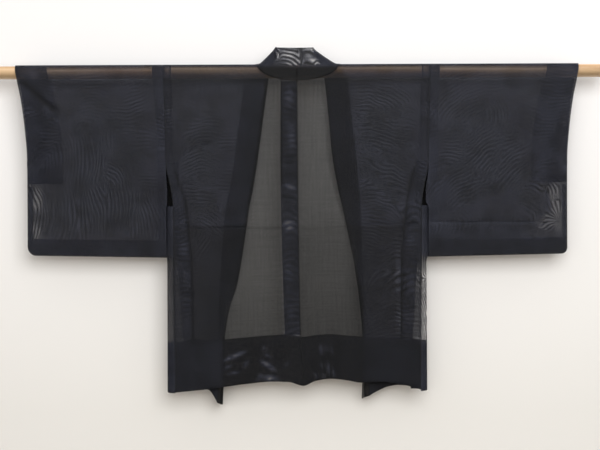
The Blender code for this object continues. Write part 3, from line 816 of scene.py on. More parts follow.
# strokes of painted sheen on the turned-up hem
HEM_SHEEN_STROKES = {
    "x0": (-174, -172, -163, -87, -91, -82, -82, -96, -126, -33,
           52, 64, 78, 52, 68, 81, 38, 57),
    "z0": (-670, -688, -700, -633, -665, -651, -707, -716, -684, -684,
           -631, -631, -633, -672, -670, -684, -698, -698),
    "x1": (-117, -151, -133, -70, -52, -59, -43, -82, -110, -17,
           54, 66, 78, 54, 70, 83, 45, 61),
    "z1": (-647, -679, -695, -647, -693, -663, -714, -698, -665, -670,
           -656, -651, -654, -688, -702, -709, -709, -711),
    "width": (4.5, 4.0, 3.6, 4.0, 4.5, 3.6, 5.0, 4.0, 3.8, 4.0,
              3.5, 3.5, 3.5, 3.5, 3.5, 3.5, 4.0, 4.0),
    "depth": (1.0, 1.0, 0.8, 0.8, 1.0, 0.8, 1.3, 1.0, 0.8, 0.6,
              0.9, 0.8, 0.8, 0.8, 1.0, 0.9, 0.8, 0.9),
}
# where the selvedge of each side allowance lies inside the body length
side_allowance = {
    LEFT: curve((-760, -450, -395, -300, -255, -185, 40), (240, 244, 249, 258, 275, 290, 291)),
    RIGHT: curve((-760, -450, -380, -305, -250, -185, 40), (239, 241, 245, 254, 263, 284, 290)),
}
CENTRE_ALLOWANCE = 37.0  # width of the strip beside the centre back seam
BODY_CREASE_Z = -355.0  # height of the storage crease across the back
# the inner edge of the collar band, as the back shows it
window_edge = {
    LEFT: curve((-624, -554, -504, -364, -277, -185, -18), (172, 158, 142, 120, 106, 91, 69)),
    RIGHT: curve((-617, -543, -464, -383, -284, -185, -18), (149, 149, 135, 119, 98, 80, 63)),
}


def body_paint(grid):
    """Double over the fronts and the hems, single and almost plain in the window between them."""
    x, z = grid[..., 0], grid[..., 2]
    back = (grid[..., 1] < 0).astype(float)
    bare = 1 - over_rod(z)
    double = ease((np.abs(x) - by_side(x, window_edge, z)) / 6)
    below_crease = ease((BODY_CREASE_Z - z) / 4)
    in_hem = ease((np.where(back > 0, back_turn_up(x), front_turn_up(x)) - z) / 4)
    hem_lines = np.zeros(x.shape)
    hem_lines[: HEM_ROWS + 1] = 1
    hem_lines[-HEM_ROWS - 1 :] = 1
    # the seams, the allowances beside them, and the collar band seen through the back
    seam = line_at(x - centre_seam(z), 1.3) * back + line_at(np.abs(x) - side_back(z), 2.0)
    beside_seam = (x < centre_seam(z)) * (x > centre_seam(z) - CENTRE_ALLOWANCE)
    selvedge = by_side(x, side_allowance, z)
    below_vent = ease((-200 - z) / 40)
    allowance = np.maximum(beside_seam, (np.abs(x) > selvedge) * below_vent)
    shaded = line_at(np.abs(x) - selvedge, 3.6) * below_vent * (1 - in_hem) * back
    banded = ease((seam_across(x, z) - np.abs(x)) / 5) * double
    # how close the cloth is
    creases = crease_depth(x, z, BACK_CREASES) * back
    cover = 0.48 + 0.04 * double + 0.02 * below_crease + 0.025 * ease((-470 - z) / 120)
    cover = cover + 0.25 * hem_lines
    cover = cover + 0.012 * (x > 0) + 0.03 * (x > 0) * ease((-250 - z) / 150) * (1 - double)
    cover = cover + 0.03 * creases + 0.045 * under_rod_shade(z) * bare
    cover = cover + on_rod_cover(z)
    cover = cover + 0.07 * shaded + 0.3 * beside_seam * line_at(z + 21, 3) * back
    # the lightening of its colour: its plain tone, and painted sheen in spots and in strokes on the hem
    plain = np.maximum(0.45 * double * (1 - 0.5 * below_crease), 0.3 * allowance)
    plain = plain * (1 - banded * np.where(x < 0, 0.3, 0.6 * ease((z + 520) / 150)))
    plain = mix(plain, 0.07 + np.where(x < 0, 0.17, 0.1) * double, in_hem)
    sheen_strokes = np.minimum(crease_depth(x, z, HEM_SHEEN_STROKES), 1.3) * in_hem
    painted_sheen_marks = np.maximum(spots(x, z, BODY_SHEEN_SPOTS), sheen_strokes)
    bloom = np.maximum(painted_sheen_marks, plain) * np.maximum(np.maximum(double, beside_seam), in_hem)
    bloom = bloom * (1 - 0.8 * shaded)
    # how strong the watered figure is
    figure = 0.02 + np.where(x < 0, 0.24, 0.22) * double
    figure = np.maximum(figure, spots(x, z, BODY_SPOTS) * double) * back * bare
    figure = mix(figure, (0.06 + 0.2 * np.minimum(painted_sheen_marks, 1)) * back, in_hem)
    figure = np.maximum(figure, 0.22 * beside_seam * (1 - in_hem) * back * bare)
    return {
        "cover": cover + 0.3 * seam,
        "figure": figure,
        "fringe": fringes(x, z, BODY_FRINGES, 5),
        "bloom": bloom * (1 - seam) * on_rod_painted_light(z),
    }


for side, name in SIDES.items():
    piece = cloth(f"body_cloth_{name}", body_grid(side), black_gauze, body_paint)
    sew_on(piece, f"body_{name}")

# ------------------------------------------------------------------ centre back seam allowance
# The two halves' allowances are pressed together to the wearer's left of the centre back seam,
# as a doubled strip 37 mm wide that shows dark through the back. Its edges are denser.


def centre_paint(grid):
    """Dense all over, and most at both edges."""
    x, z = grid[..., 0], grid[..., 2]
    edges = np.maximum(line_at(x - x[:, -1:], 2.4), line_at(x - x[:, :1], 2.4))
    return {
        "cover": 0.86 + 0.12 * edges,
        "figure": 0.1,
        "fringe": fringes(x, z, BODY_FRINGES, 7),
        "bloom": 0.1 * (1 - edges),
    }


rows = []
for z in [*np.arange(-609, -25, 5.3), -23.2]:
    inner = float(centre_seam(z) - SEAM_GAP)
    outer = float(centre_seam(z) - CENTRE_ALLOWANCE + 2.5 * np.sin(z / 160))
    rows.append(body_points(steps_between(inner, outer, 8), place_of(z), None, LAYER_STEP))
piece = cloth("centre_back_allowance", np.array(rows), black_gauze, centre_paint)
sew_on(piece)

# ------------------------------------------------------------------ side seam allowances
# Inside each body length the cloth's spare width is turned in along the side: narrow beside the
# armhole, and widening below it to the full allowance. It ends under the turned-up hems.
SIDE_FRINGES = {
    "x": (-262, -262, -262, 262, 262, 262),
    "z": (-350, -450, -570, -350, -450, -570),
    "reach": (60, 60, 60, 60, 60, 60),
    "way": (92, 80, 100, 88, 95, 80),
    "bend": (0.6, -0.6, 0.6, 0.4, -0.4, 0.4),
    "spacing": (10, 12, 11, 12, 10, 12),
}


def side_paint(grid):
    """The selvedge, and the fold along the seam, are the densest; the back one shows its figure."""
    x, z = grid[..., 0], grid[..., 2]
    back = (grid[..., 1] < 0).astype(float)
    below_vent = ease((-205 - z) / 60)
    selvedge = line_at(x - x[:, -1:], 2.6)
    cover = mix(0.16, 0.34, below_vent) + 0.5 * selvedge + 0.2 * line_at(x - x[:, :1], 3.0)
    cover = cover + 0.2 * over_rod(z) * line_at(x - x[:, :1], 6.0)
    return {
        "cover": cover,
        "figure": 0.2 * back,
        "fringe": fringes(x, z, SIDE_FRINGES, 9),
        "bloom": 0.3 * below_vent * (1 - selvedge),
    }


for side, name in SIDES.items():
    for back in (True, False):
        edge = side_back if back else side_front
        low, way = (-616, 1) if back else (-622, -1)
        down = np.arange(low, HANG_TOP, 7.0)
        places = [*way * place_of(down), *way * np.arange(26, -0.1, -4.3)]
        rows = []
        for place in places:
            z = on_drape(place)[1]
            x = side * steps_between(float(edge(z)) - 0.6, float(side_allowance[side](z)), 5)
            rows.append(body_points(x, place, None, LAYER_STEP))
        layer = "back" if back else "front"
        piece = cloth(f"side_allowance_{layer}_{name}", np.array(rows), black_gauze, side_paint)
        sew_on(piece)

# ------------------------------------------------------------------ side gussets
# The machi: a narrow strip let in between back and front below the side vent. It is folded out
# along its middle and its hem is turned up with the body's.
GUSSET_TOP = -311.0
GUSSET_LEVEL = -500  # height at which its level rows begin
gusset_fold = {
    LEFT: curve((-760, -440, -425, -311), (301.5, 301.5, 302.9, 302.9)),
    RIGHT: curve((-760, -440, -425, -311), (298.5, 298.5, 302.9, 302.9)),
}
GUSSET_FRINGES = {
    "x": (-298, -298, 298, 298),
    "z": (-400, -560, -400, -560),
    "reach": (90, 90, 90, 90),
    "way": (8, 12, 172, 10),
    "bend": (0.1, -0.1, 0.1, 0.1),
    "spacing": (5.0, 5.5, 4.6, 4.4),
}


def gusset_row(side, height, columns, inset=0.0):
    """Points round the gusset's outward fold, from the back's edge to the front's."""
    depth = float(body_depth(height(0.5))) - inset
    back = float(side_back(height(0.0))) + 2 * SEAM_GAP
    front = float(side_front(height(1.0))) + 2 * SEAM_GAP
    fold = float(gusset_fold[side](height(0.5))) - inset
    # the fold is the curve's middle, where each of the two edges has an eighth of the weight
    pull = (fold - (back + front) / 8) / 0.75
    t = steps_between(0.0, 1.0, columns, (0.0, 0.015, 0.035))
    weights = np.stack([(1 - t) ** 3, 3 * t * (1 - t) ** 2, 3 * t * t * (1 - t), t**3], axis=1)
    corners = np.array(((back, -depth), (pull, -depth), (pull, depth), (front, depth)))
    points = weights @ corners
    return np.stack([side * points[:, 0], points[:, 1], height(t)], axis=1)


GUSSET_HEM_ROWS = 12  # down the inside of its turned-up hem, and again up the outside


def gusset_grid(side, columns=28):
    """Rows down the inside of the turned-up hem, round its fold, and up the gusset to its top."""
    x = side * ROW_SIDE

    def hem(t):
        return mix(back_hem(x), front_hem(x), t)

    def turn_up(t):
        return mix(back_turn_up(x), front_turn_up(x), t)

    shares = np.linspace(1, 0, GUSSET_HEM_ROWS)
    rows = [gusset_row(side, between(hem, turn_up, s, HEM_ROUND), columns, TURN_UP_STEP) for s in shares]
    rows.append(gusset_row(side, hem, columns, TURN_UP_STEP / 2))
    rows += [gusset_row(side, between(hem, turn_up, s, HEM_ROUND), columns) for s in shares[::-1]]
    to_level = [between(turn_up, level_at(GUSSET_LEVEL), share) for share in np.arange(1, 13) / 13]
    rows += [gusset_row(side, height, columns) for height in to_level]
    rows += [gusset_row(side, level_at(z), columns) for z in np.linspace(GUSSET_LEVEL, GUSSET_TOP, 24)]
    return np.array(rows)


def gusset_paint(grid):
    """Open beyond the body's edge, once the sleeve no longer hangs beside it, with painted light in its
    colour there, most on the right.
    """
    x, z = grid[..., 0], grid[..., 2]
    hem_lines = np.zeros(x.shape)
    hem_lines[:GUSSET_HEM_ROWS] = 1
    below_sleeve = ease((-418 - z) / 20) * ease((z + 629) / 6)
    fold = line_at(np.abs(x) - np.abs(x).max(axis=1, keepdims=True), 1.6)
    cover = mix(0.66, np.where(x < 0, 0.5, 0.44), below_sleeve) + 0.25 * hem_lines
    return {
        "cover": cover + 0.3 * fold + 0.25 * line_at(x - x[:, :1], 2.0),
        "figure": mix(0.15, np.where(x < 0, 0.3, 0.9), below_sleeve),
        "fringe": fringes(x, z, GUSSET_FRINGES, 13),
        "bloom": mix(0.5, np.where(x < 0, 0.3, 1.0), below_sleeve),
    }


for side, name in SIDES.items():
    piece = cloth(f"gusset_cloth_{name}", gusset_grid(side), black_gauze, gusset_paint)
    sew_on(piece, f"gusset_{name}")

# ------------------------------------------------------------------ sleeves
# Each sleeve is one bolt width folded over at the top, sewn to the body down to the armhole's
# end, and sewn shut along its bottom and up its outer edge to the cuff opening.
ARMHOLE_END = -220.0  # height down to which the sleeve is sewn to the body
CUFF_END = -212.0  # height down to which the cuff is open
SLEEVE_BEND = -330.0  # height below which the rows follow the bottom's own line
SLEEVE_INNER_BOTTOM, SLEEVE_OUTER_BOTTOM = -430.0, -424.0
SLEEVE_CORNER = {LEFT: 20.0, RIGHT: 14.0}  # radius of the outer lower corner
SLEEVE_EDGE_SPREAD = 60.0  # how far in from the edge the back and front part to full depth
SLEEVE_CREASE_Z = -352.0  # height of the storage crease across the right sleeve
SLEEVE_EDGE_Z = -400.0  # height at which the bottom seam reads where the outer edge is
SLEEVE_INNER = SHOULDER + 0.5  # where its free inner edge hangs


def sleeve_inner(z):
    """The sleeve's inner edge: on the body's edge along the armhole, and free below it."""
    return np.where(np.asarray(z) > ARMHOLE_END, side_back(z) + 2 * SEAM_GAP, SLEEVE_INNER)


sleeve_hang = curve((-430, -330, -220, -90, 0), (4.2, 9.5, 14.0, 16.4, DRAPE_RADIUS))
cuff_hang = curve((-430, -212, -120, -60, 0), (3.4, 3.4, 8.0, 13.0, DRAPE_RADIUS))
sleeve_edge = curve((-430, -200, -136, -66, 0, 18), (625.5, 626, 630, 638, 650, 652))
SLEEVE_BACK_CREASES = {
    "x0": (305, -648, -622, 420, -480, -560, 330, 320, -330, 560, -636, 470),
    "z0": (-351, -6, -376, -420, -300, -205, -240, -352, -356, -200, -20, -90),
    "x1": (618, -556, -470, 600, -312, -420, 420, 612, -612, 480, -590, 560),
    "z1": (-350, -92, -372, -400, -312, -230, -300, -350, -352, -260, -34, -170),
    "width": (2.6, 6.0, 5.0, 9.0, 8.0, 9.0, 9.0, 6.0, 3.0, 14.0, 16.0, 16.0),
    "depth": (1.6, 3.2, 1.2, 1.0, 1.0, 0.9, 0.9, 0.8, 0.6, 1.0, -2.2, 1.0),
}
SLEEVE_FRONT_CREASES = {
    "x0": (305, 600, -600, -450),
    "z0": (-351, -20, -355, -240),
    "x1": (616, 560, -306, -320),
    "z1": (-349, -95, -352, -300),
    "width": (3.0, 6.0, 3.0, 9.0),
    "depth": (1.8, 1.8, 1.8, 1.0),
}
# patches of the watered figure, on the left sleeve and on the right one
SLEEVE_FRINGES = {
    "x": (-560, -470, -400, -345, -509, -440, -401, -345, -600, -540, -470, -410, -350, -600,
          365, 465, 430, 500, 380, 415, 480, 545, 592, 550, 340, 560, 565),
    "z": (-60, -75, -110, -150, -190, -140, -236, -215, -330, -335, -340, -325, -350, -130,
          -60, -105, -185, -200, -270, -350, -345, -330, -275, -275, -180, -110, -405),
    "reach": (50, 60, 60, 50, 60, 40, 36, 45, 45, 60, 60, 50, 50, 60,
              70, 34, 60, 60, 60, 60, 45, 34, 26, 30, 60, 60, 40),
    "way": (66, 84, 96, 88, 4, 172, 30, 80, 2, 176, 4, 172, 10, 110,
            124, 3, 130, 126, 118, 4, 172, 40, 20, 70, 100, 75, 90),
    "bend": (0.3, 0.3, -0.3, 0.3, 0.2, 0.2, 0.3, -0.3, 0.15, -0.2, 0.15, -0.2, 0.2, 0.5,
             0.2, 0.3, 0.1, 0.2, 0.2, 1.2, 0.8, 0.5, 0.4, 0.5, 0.3, -0.3, 0.2),
    "spacing": (8.0, 8.0, 8.0, 8.0, 7.8, 7.8, 8.0, 8.0, 8.8, 8.6, 8.6, 8.4, 8.2, 8.4,
                8.0, 8.6, 7.8, 7.8, 8.0, 9.2, 9.2, 10.0, 9.0, 10.0, 8.0, 8.4, 9.0),
}
SLEEVE_FANS = ((607, -349, 72, 23),)  # at the right sleeve's outer lower corner
# where the figure is stronger
SLEEVE_SPOTS = {
    "x": (-600, -606, -585, 596, 584, 575, 560, 600, 470, 400, -480, -370, -370, 420, -480, 440),
    "z": (-290, -365, -330, -285, -350, -272, -365, -320, -110, -375, -335, -335, -115, -340, -150, -180),
    "rx": (13, 13, 30, 12, 44, 24, 42, 14, 36, 60, 110, 60, 90, 70, 110, 100),
    "rz": (34, 26, 60, 36, 26, 12, 20, 30, 24, 16, 60, 60, 60, 40, 90, 90),
    "strength": (1.1, 1.15, 0.32, 1.15, 1.15, 1.0, 0.8, 1.1, 0.36, 0.28,
                 0.25, 0.25, 0.25, 0.25, 0.25, 0.24),
}
# the cuff facing inside the sleeve: its lower end, and its width from the cuff
FACING_END = -258.0
facing_width = curve((-258, -150, -60, 0), (81, 80, 75, 73))
# places of painted sheen, where the colour is made lighter; the first is a painted highlight where the
# cloth above the left cuff's fold tilts up to the light
SLEEVE_SHEEN_SPOTS = {
    "x": (-603, -565, -606, 405, 330, -400, 560, -330, -600, -604, 594, 582, 600, 470, -540, -430),
    "z": (-14, -36, -120, -335, -100, -150, -120, -120, -300, -365, -285, -350, -320, -110, -340, -340),
    "rx": (30, 20, 20, 60, 26, 120, 60, 30, 14, 14, 14, 44, 12, 30, 60, 60),
    "rz": (16, 26, 60, 26, 90, 110, 90, 120, 40, 26, 34, 26, 34, 20, 50, 50),
    "strength": (1.6, 0.75, 0.6, 0.55, 0.55, 0.55, 0.55, 0.55, 1.4, 1.4, 1.5, 1.3, 1.5, 0.7, 0.5, 0.5),
}
# the fold that runs down from the left cuff's top, painted closer and darker as painted shade in its crease
CUFF_FOLD = {"x0": (-655,), "z0": (-2,), "x1": (-552,), "z1": (-94,), "width": (8.0,), "depth": (1.0,)}
# how far in the sleeve's free inner edge leans, between the armhole's end and the gusset
SLEEVE_LEAN = {LEFT: 3.0, RIGHT: 6.5}


def sleeve_bottom(side, across, edge):
    """The height of a sleeve's bottom, which is rounded up to its outer edge."""
    low = mix(SLEEVE_INNER_BOTTOM, SLEEVE_OUTER_BOTTOM, (across - SHOULDER) / (edge - SHOULDER))
    radius = SLEEVE_CORNER[side]
    into = np.clip(radius - (edge - across), 0, radius)
    return low + radius - np.sqrt(radius**2 - into**2)


def sleeve_points(side, across, place, level=None, inset=0.0, flatten=0.0):
    """Points of a sleeve at one place of the drape, or at their own heights below it."""
    z = on_drape(place)[1]
    back = place >= 0
    if abs(place) < QUARTER:
        angle = abs(place) / DRAPE_RADIUS
        half = np.full_like(across, (DRAPE_RADIUS - inset) * math.sin(angle))
        level = np.full_like(across, (DRAPE_RADIUS - inset) * math.cos(angle))
        return np.stack([side * across, (-1 if back else 1) * half, level], axis=1)
    level = np.full_like(across, z) if level is None else level
    edge = sleeve_edge(level)
    near_cuff = 1 - ease((edge - across) / SLEEVE_EDGE_SPREAD)
    half = mix(sleeve_hang(level), cuff_hang(level), near_cuff)
    table, seed = (SLEEVE_BACK_CREASES, 31) if back else (SLEEVE_FRONT_CREASES, 47)
    out = soft_waves(side * across, level, seed + side) - crease_depth(side * across, level, table)
    inner = sleeve_inner(level)
    room = ease((across - inner) / 15) * ease((edge - across) / 30) * ease((level + 425) / 70)
    half = half + out * room * ease((RELIEF_TOP - level) / 60) - inset
    closed = ease((CUFF_END - level) / 12) * (1 - ease((edge - across) / 2.4))
    half = mix(half, 0.6, np.maximum(closed, flatten))
    return np.stack([side * across, (-1 if back else 1) * half, level], axis=1)


CUFF_INSETS = np.array((0, 0.4, 1.2, 2.4, 4, 7, 11, 16, 21))


def sleeve_row(side, place, share_down=None):
    """Points along the sleeve from the cuff to the armhole."""
    z = on_drape(place)[1]
    edge = float(sleeve_edge(z if share_down is None else SLEEVE_BEND))
    lean = SLEEVE_LEAN[side] * float(ease((ARMHOLE_END - z) / 60) * ease((z - GUSSET_TOP + 3) / 12))
    inside = steps_between(27.0, edge - float(sleeve_inner(z)) + lean, 54)[len(EDGE_STEPS) - 1 :]
    across = edge - np.concatenate([CUFF_INSETS, inside])
    if share_down is None:
        return sleeve_points(side, across, place)
    bottom = sleeve_bottom(side, across, sleeve_edge(np.full_like(across, SLEEVE_EDGE_Z)))
    level = mix(SLEEVE_BEND, bottom, share_down)
    return sleeve_points(side, across, place, level, 0.0, ease((share_down - 0.985) / 0.015))


SLEEVE_SHARES = (1.0, 0.994, 0.985, 0.97, *np.linspace(0.94, 0.46, 8), *np.linspace(0.42, 0.03, 20))
SLEEVE_LEVELS = np.arange(SLEEVE_BEND, HANG_TOP, 5.5)
ROD_PLACES = np.linspace(QUARTER, -QUARTER, 27)


def up_and_over(heights):
    """Places up the back at the given heights, over the rod, and down the front again."""
    return [*place_of(heights), *ROD_PLACES[1:-1:2], *-place_of(heights[::-1])]


def sleeve_grid(side):
    """Rows from the sleeve's bottom up the back, over the rod and down the front to its bottom."""
    low = place_of(SLEEVE_INNER_BOTTOM)
    rows = [sleeve_row(side, low, share) for share in SLEEVE_SHARES]
    rows += [sleeve_row(side, place_of(z)) for z in SLEEVE_LEVELS]
    rows += [sleeve_row(side, place) for place in ROD_PLACES]
    rows += [sleeve_row(side, -place_of(z)) for z in SLEEVE_LEVELS[::-1]]
    rows += [sleeve_row(side, -low, share) for share in SLEEVE_SHARES[::-1]]
    return np.array(rows)


def sleeve_paint(grid):
    """Faint all over, strong at the outer lower corners, and denser below the storage crease."""
    x, z = grid[..., 0], grid[..., 2]
    back = (grid[..., 1] < 0).astype(float)
    bare = 1 - over_rod(z)
    shown = spots(x, z, SLEEVE_SPOTS)
    figure = np.maximum(np.where(x < 0, 0.25, 0.22), shown)
    figure = figure * back * bare * (1 - 0.6 * ease((-388 - z) / 6))
    # the right sleeve is closer below its crease, at its corner, and in a block beside the body
    cover = 0.535 + 0.12 * ease((-350 - z) / 5) * (x > 0) * ease((590 - x) / 90) + 0.01 * (x > 0)
    cover = cover + 0.03 * ease((x - 540) / 20) * ease((-258 - z) / 10)
    block = ease((z + 322) / 6) * ease((-246 - z) / 6) * ease((350 - x) / 6) * (x > 0)
    creases = crease_depth(x, z, SLEEVE_BACK_CREASES) * back
    cover = cover + 0.12 * block + 0.03 * creases + 0.045 * under_rod_shade(z) * bare
    cover = cover + on_rod_cover(z) - 0.02 * over_rod(z)
    # the rod's polish glints through where the cloth is stretched tightest: the cloth is thinner there, and
    # a painted highlight line lightens its colour
    glint = line_at(z - 3, 2.4) * (np.abs(x) > 326) * (np.abs(x) < 575)
    cover = cover - 0.07 * glint + 0.04 * line_at(z - 8.5, 3)
    creased = line_at(z - SLEEVE_CREASE_Z, 3.2) * (x > 0) * back
    cover = cover + 0.28 * creased - 0.12 * np.clip(shown - 1, 0, 1)
    # painted shade in the fold's crease: the cloth is closer there and its colour is not lightened
    fold = crease_depth(x, z, CUFF_FOLD) * back
    cover = cover + 0.25 * fold
    # the lightening of its colour: its plain tone, more over the facing, and painted sheen in spots; along
    # the cuff's fold it is painted dark
    faced = (np.abs(x) > sleeve_edge(z) - facing_width(z)) * (z > FACING_END + 15)
    pressed = np.maximum(0.48, 0.52 * faced)
    pressed = np.maximum(pressed, 0.55 * (np.abs(x) < 325))
    pressed = pressed * (1 - np.where(x < 0, 0.25, 0.45) * ease((-385 - z) / 8))
    bloom = np.maximum(spots(x, z, SLEEVE_SHEEN_SPOTS), pressed) * (1 - 0.9 * np.clip(fold, 0, 1))
    return {
        "cover": cover + 0.25 * line_at(np.abs(x) - sleeve_inner(z), 1.6),
        "figure": figure,
        "fringe": fringes(x, z, SLEEVE_FRINGES, 3, fans=SLEEVE_FANS),
        "bloom": bloom * on_rod_painted_light(z) + 0.5 * glint,
    }


for side, name in SIDES.items():
    grid = sleeve_grid(side)
    count = len(grid)
    closed_rows = int((grid[: count // 2, 0, 2] < CUFF_END).sum())
    seam = [((i, 0), (i + 1, 0), (count - i - 2, 0), (count - i - 1, 0)) for i in range(closed_rows)]
    piece = cloth(f"sleeve_cloth_{name}", grid, black_gauze, sleeve_paint, closed=True, extra_faces=seam)
    sew_on(piece, f"sleeve_{name}")

# ------------------------------------------------------------------ armhole allowances
# The sleeve's spare width is turned in along the armhole seam and down the free inner edge, as a
# doubled strip that goes over the rod with the sleeve. In front it reaches in behind the vent.
armhole_allowance = {
    LEFT: curve((-430, -100, 0, 20), (322, 326, 334, 335)),
    RIGHT: curve((-430, -100, 0, 20), (325, 326, 330, 331)),
}


def armhole_paint(grid):
    """The seam and the selvedge show as a double line."""
    x, z = np.abs(grid[..., 0]), grid[..., 2]
    cover = 0.34 + 0.3 * line_at(x - x[:, :1], 1.8) + 0.2 * line_at(x - x[:, -1:], 2.0)
    return {"cover": cover + 0.15 * over_rod(z), "figure": 0.3, "fringe": z / 9, "bloom": 0.5}


for side, name in SIDES.items():
    rows = []
    for place in up_and_over(np.arange(-424, HANG_TOP, 6.0)):
        z = on_drape(place)[1]
        across = steps_between(float(sleeve_inner(z)) + 0.6, float(armhole_allowance[side](z)), 4)
        rows.append(sleeve_points(side, across, place, None, LAYER_STEP))
    piece = cloth(f"armhole_allowance_{name}", np.array(rows), black_gauze, armhole_paint)
    sew_on(piece)

# The front's free edge is turned in once more behind the vent, and is coloured near black as painted shade
# for the deep shade in the vent, so the vent looks black.
VENT_FLAP_TOP, VENT_FLAP_BOTTOM = -205.0, -316.0
VENT_FLAP_INNER = 276.0  # from the centre
VENT_FLAP_DEPTH = 3.2  # inside the front's cloth
painted_shade_gauze = gauze("black silk gauze in painted shade", "#040405", "#040405", "#040405", 0.06, 0.0)
for side, name in SIDES.items():
    rows = []
    for z in np.arange(VENT_FLAP_BOTTOM, VENT_FLAP_TOP, 6.0):
        across = np.linspace(SLEEVE_INNER + 1.5, VENT_FLAP_INNER, 8)
        y = np.full_like(across, float(body_depth(z)) - VENT_FLAP_DEPTH)
        rows.append(np.stack([side * across, y, np.full_like(across, z)], axis=1))
    piece = cloth(
        f"vent_flap_{name}",
        np.array(rows),
        painted_shade_gauze,
        lambda grid: {"cover": 0.98, "figure": 0.0, "fringe": 0.0, "bloom": 0.0},
    )
    sew_on(piece)

# ------------------------------------------------------------------ sleeve bottom and outer seams
# The bottom seam's allowance is 37 mm deep and pressed up inside the back of the sleeve. The
# outer seam's is 12 mm wide, from under the cuff facing down to the rounded corner.
BOTTOM_ALLOWANCE = 37.0
OUTER_ALLOWANCE = 12.5
SEAM_INSET = 0.9  # of a pressed allowance, inside its cloth


def sleeve_bottom_row(side, start, end, rise, inset):
    """Points along the back of a sleeve's bottom, from start to end inside its two edges."""
    edge = float(sleeve_edge(SLEEVE_EDGE_Z))
    across = np.linspace(SLEEVE_INNER + start, edge - end, 60)
    level = sleeve_bottom(side, across, edge) + rise
    return sleeve_points(side, across, place_of(SLEEVE_INNER_BOTTOM), level, inset)


def seam_paint(grid):
    """A close, pressed strip whose last thread is the densest."""
    edge = line_at(np.linalg.norm(grid - grid[-1:], axis=2), 2.5)
    return {"cover": 0.62 + 0.12 * edge, "figure": 0.12, "fringe": grid[..., 0] / 9, "bloom": 0.35}


for side, name in SIDES.items():
    rises = np.linspace(2, 2 + BOTTOM_ALLOWANCE, 8)
    rows = [sleeve_bottom_row(side, 1, 2.5, rise, SEAM_INSET) for rise in rises]
    piece = cloth(f"sleeve_bottom_allowance_{name}", np.array(rows), black_gauze, seam_paint)
    sew_on(piece)
    rows = []
    for z in np.arange(-408, FACING_END, 6.0):
        across = float(sleeve_edge(z)) - np.linspace(2.2, OUTER_ALLOWANCE, 6)
        rows.append(sleeve_points(side, across, place_of(z), None, SEAM_INSET))
    piece = cloth(f"sleeve_outer_allowance_{name}", np.array(rows), black_gauze, seam_paint)
    sew_on(piece)

# ------------------------------------------------------------------ cuff facings
# A strip of the same gauze lies inside each cuff opening, blind-stitched along its inner edge.
# It ends below the opening, where its lower end is turned in twice.


def facing_paint(grid):
    """The turned-in lower end, the cuff's own fold and the inner edge are denser."""
    x, z = np.abs(grid[..., 0]), grid[..., 2]
    bound = line_at(x - x[:, -1:], 2.2) * (1 - 0.6 * over_rod(z))
    cover = 0.4 + 0.3 * ease((-243 - z) / 3) + 0.2 * bound + 0.25 * line_at(x - x[:, :1], 5)
    return {
        "cover": cover,
        "figure": 0.25,
        "fringe": fringes(grid[..., 0], z, SLEEVE_FRINGES, 4, fans=SLEEVE_FANS),
        "bloom": 0.5,
    }


for side, name in SIDES.items():
    rows = []
    for place in up_and_over(np.arange(FACING_END, HANG_TOP, 5.5)):
        z = on_drape(place)[1]
        across = float(sleeve_edge(z)) - steps_between(0.9, float(facing_width(z)), 14)
        rows.append(sleeve_points(side, across, place, None, SEAM_INSET))
    piece = cloth(f"cuff_facing_cloth_{name}", np.array(rows), black_gauze, facing_paint)
    sew_on(piece, f"cuff_facing_{name}")

# ------------------------------------------------------------------ collar
# The collar is a band of four pressed layers. It stands up round the back of the neck, where the
# two halves are sewn together, and turns back along its seam all the way down each front.
COLLAR_FLAT, COLLAR_BEND_END = 4.0, 18.0
COLLAR_WALL = 2.4
collar_droop = curve((-795, -765, -660, 0), (9.5, 8.0, 0, 0))


def seam_frame(side, place):
    """At a place of the collar seam: its point, the band's first direction and the way out."""
    values = {column: float(at(place)) for column, at in collar_curves[side].items()}
    y, z = on_drape(place)
    far = min(abs(place), QUARTER) / DRAPE_RADIUS
    outward = np.array((0.0, -math.sin(far), math.cos(far)))
    along = np.array((0.0, math.cos(far), math.sin(far)))
    if place < 0:
        outward[1], along[2] = -outward[1], -along[2]
    lean = math.radians(values["lean"])
    inward = np.array((-side * math.cos(lean), 0.0, 0.0)) + along * math.sin(lean)
    return np.array((side * values["across"], y, z)), inward, outward, values


def collar_points(side, place, columns):
    """Points across the band at one place of its seam: flat, then a bend, then flat again."""
    seam, inward, outward, values = seam_frame(side, place)
    full = math.radians(values["turn"])
    steps = columns * 4
    width = values["width"] / steps
    middles = (np.arange(steps) + 0.5) * width
    turned = full * ease((middles - COLLAR_FLAT) / (COLLAR_BEND_END - COLLAR_FLAT))
    flat = np.concatenate([[0], np.cumsum(np.cos(turned) * width)])[::4, None]
    out = np.concatenate([[0], np.cumsum(np.sin(turned) * width)])[::4, None]
    drop = float(collar_droop(place)) * np.linspace(0, 1, columns + 1)[:, None] ** 1.5
    return seam + flat * inward + out * outward - drop * np.array((0, 0, 1))


def collar_grid(side, columns=24):
    """Rows across the band from the seam at the back of the neck to the front's hem."""
    last = front_seam_place(side, front_hem)
    near = (48.5, 48.42, 48.35, 48.27, 48.2, 48.1, 48.0, 47.85, 47.6, 46.5, 45.3, 44.1, 42.2, 40.2, 38,
            35.8, 33, 30.1, 26.8)
    places = [*near, *np.arange(24.5, -44, -2.5), *np.arange(-47, last + 4, -6.0), last]
    grid = np.array([collar_points(side, place, columns) for place in places])
    grid[0, :, 0] = side * SEAM_GAP
    return grid


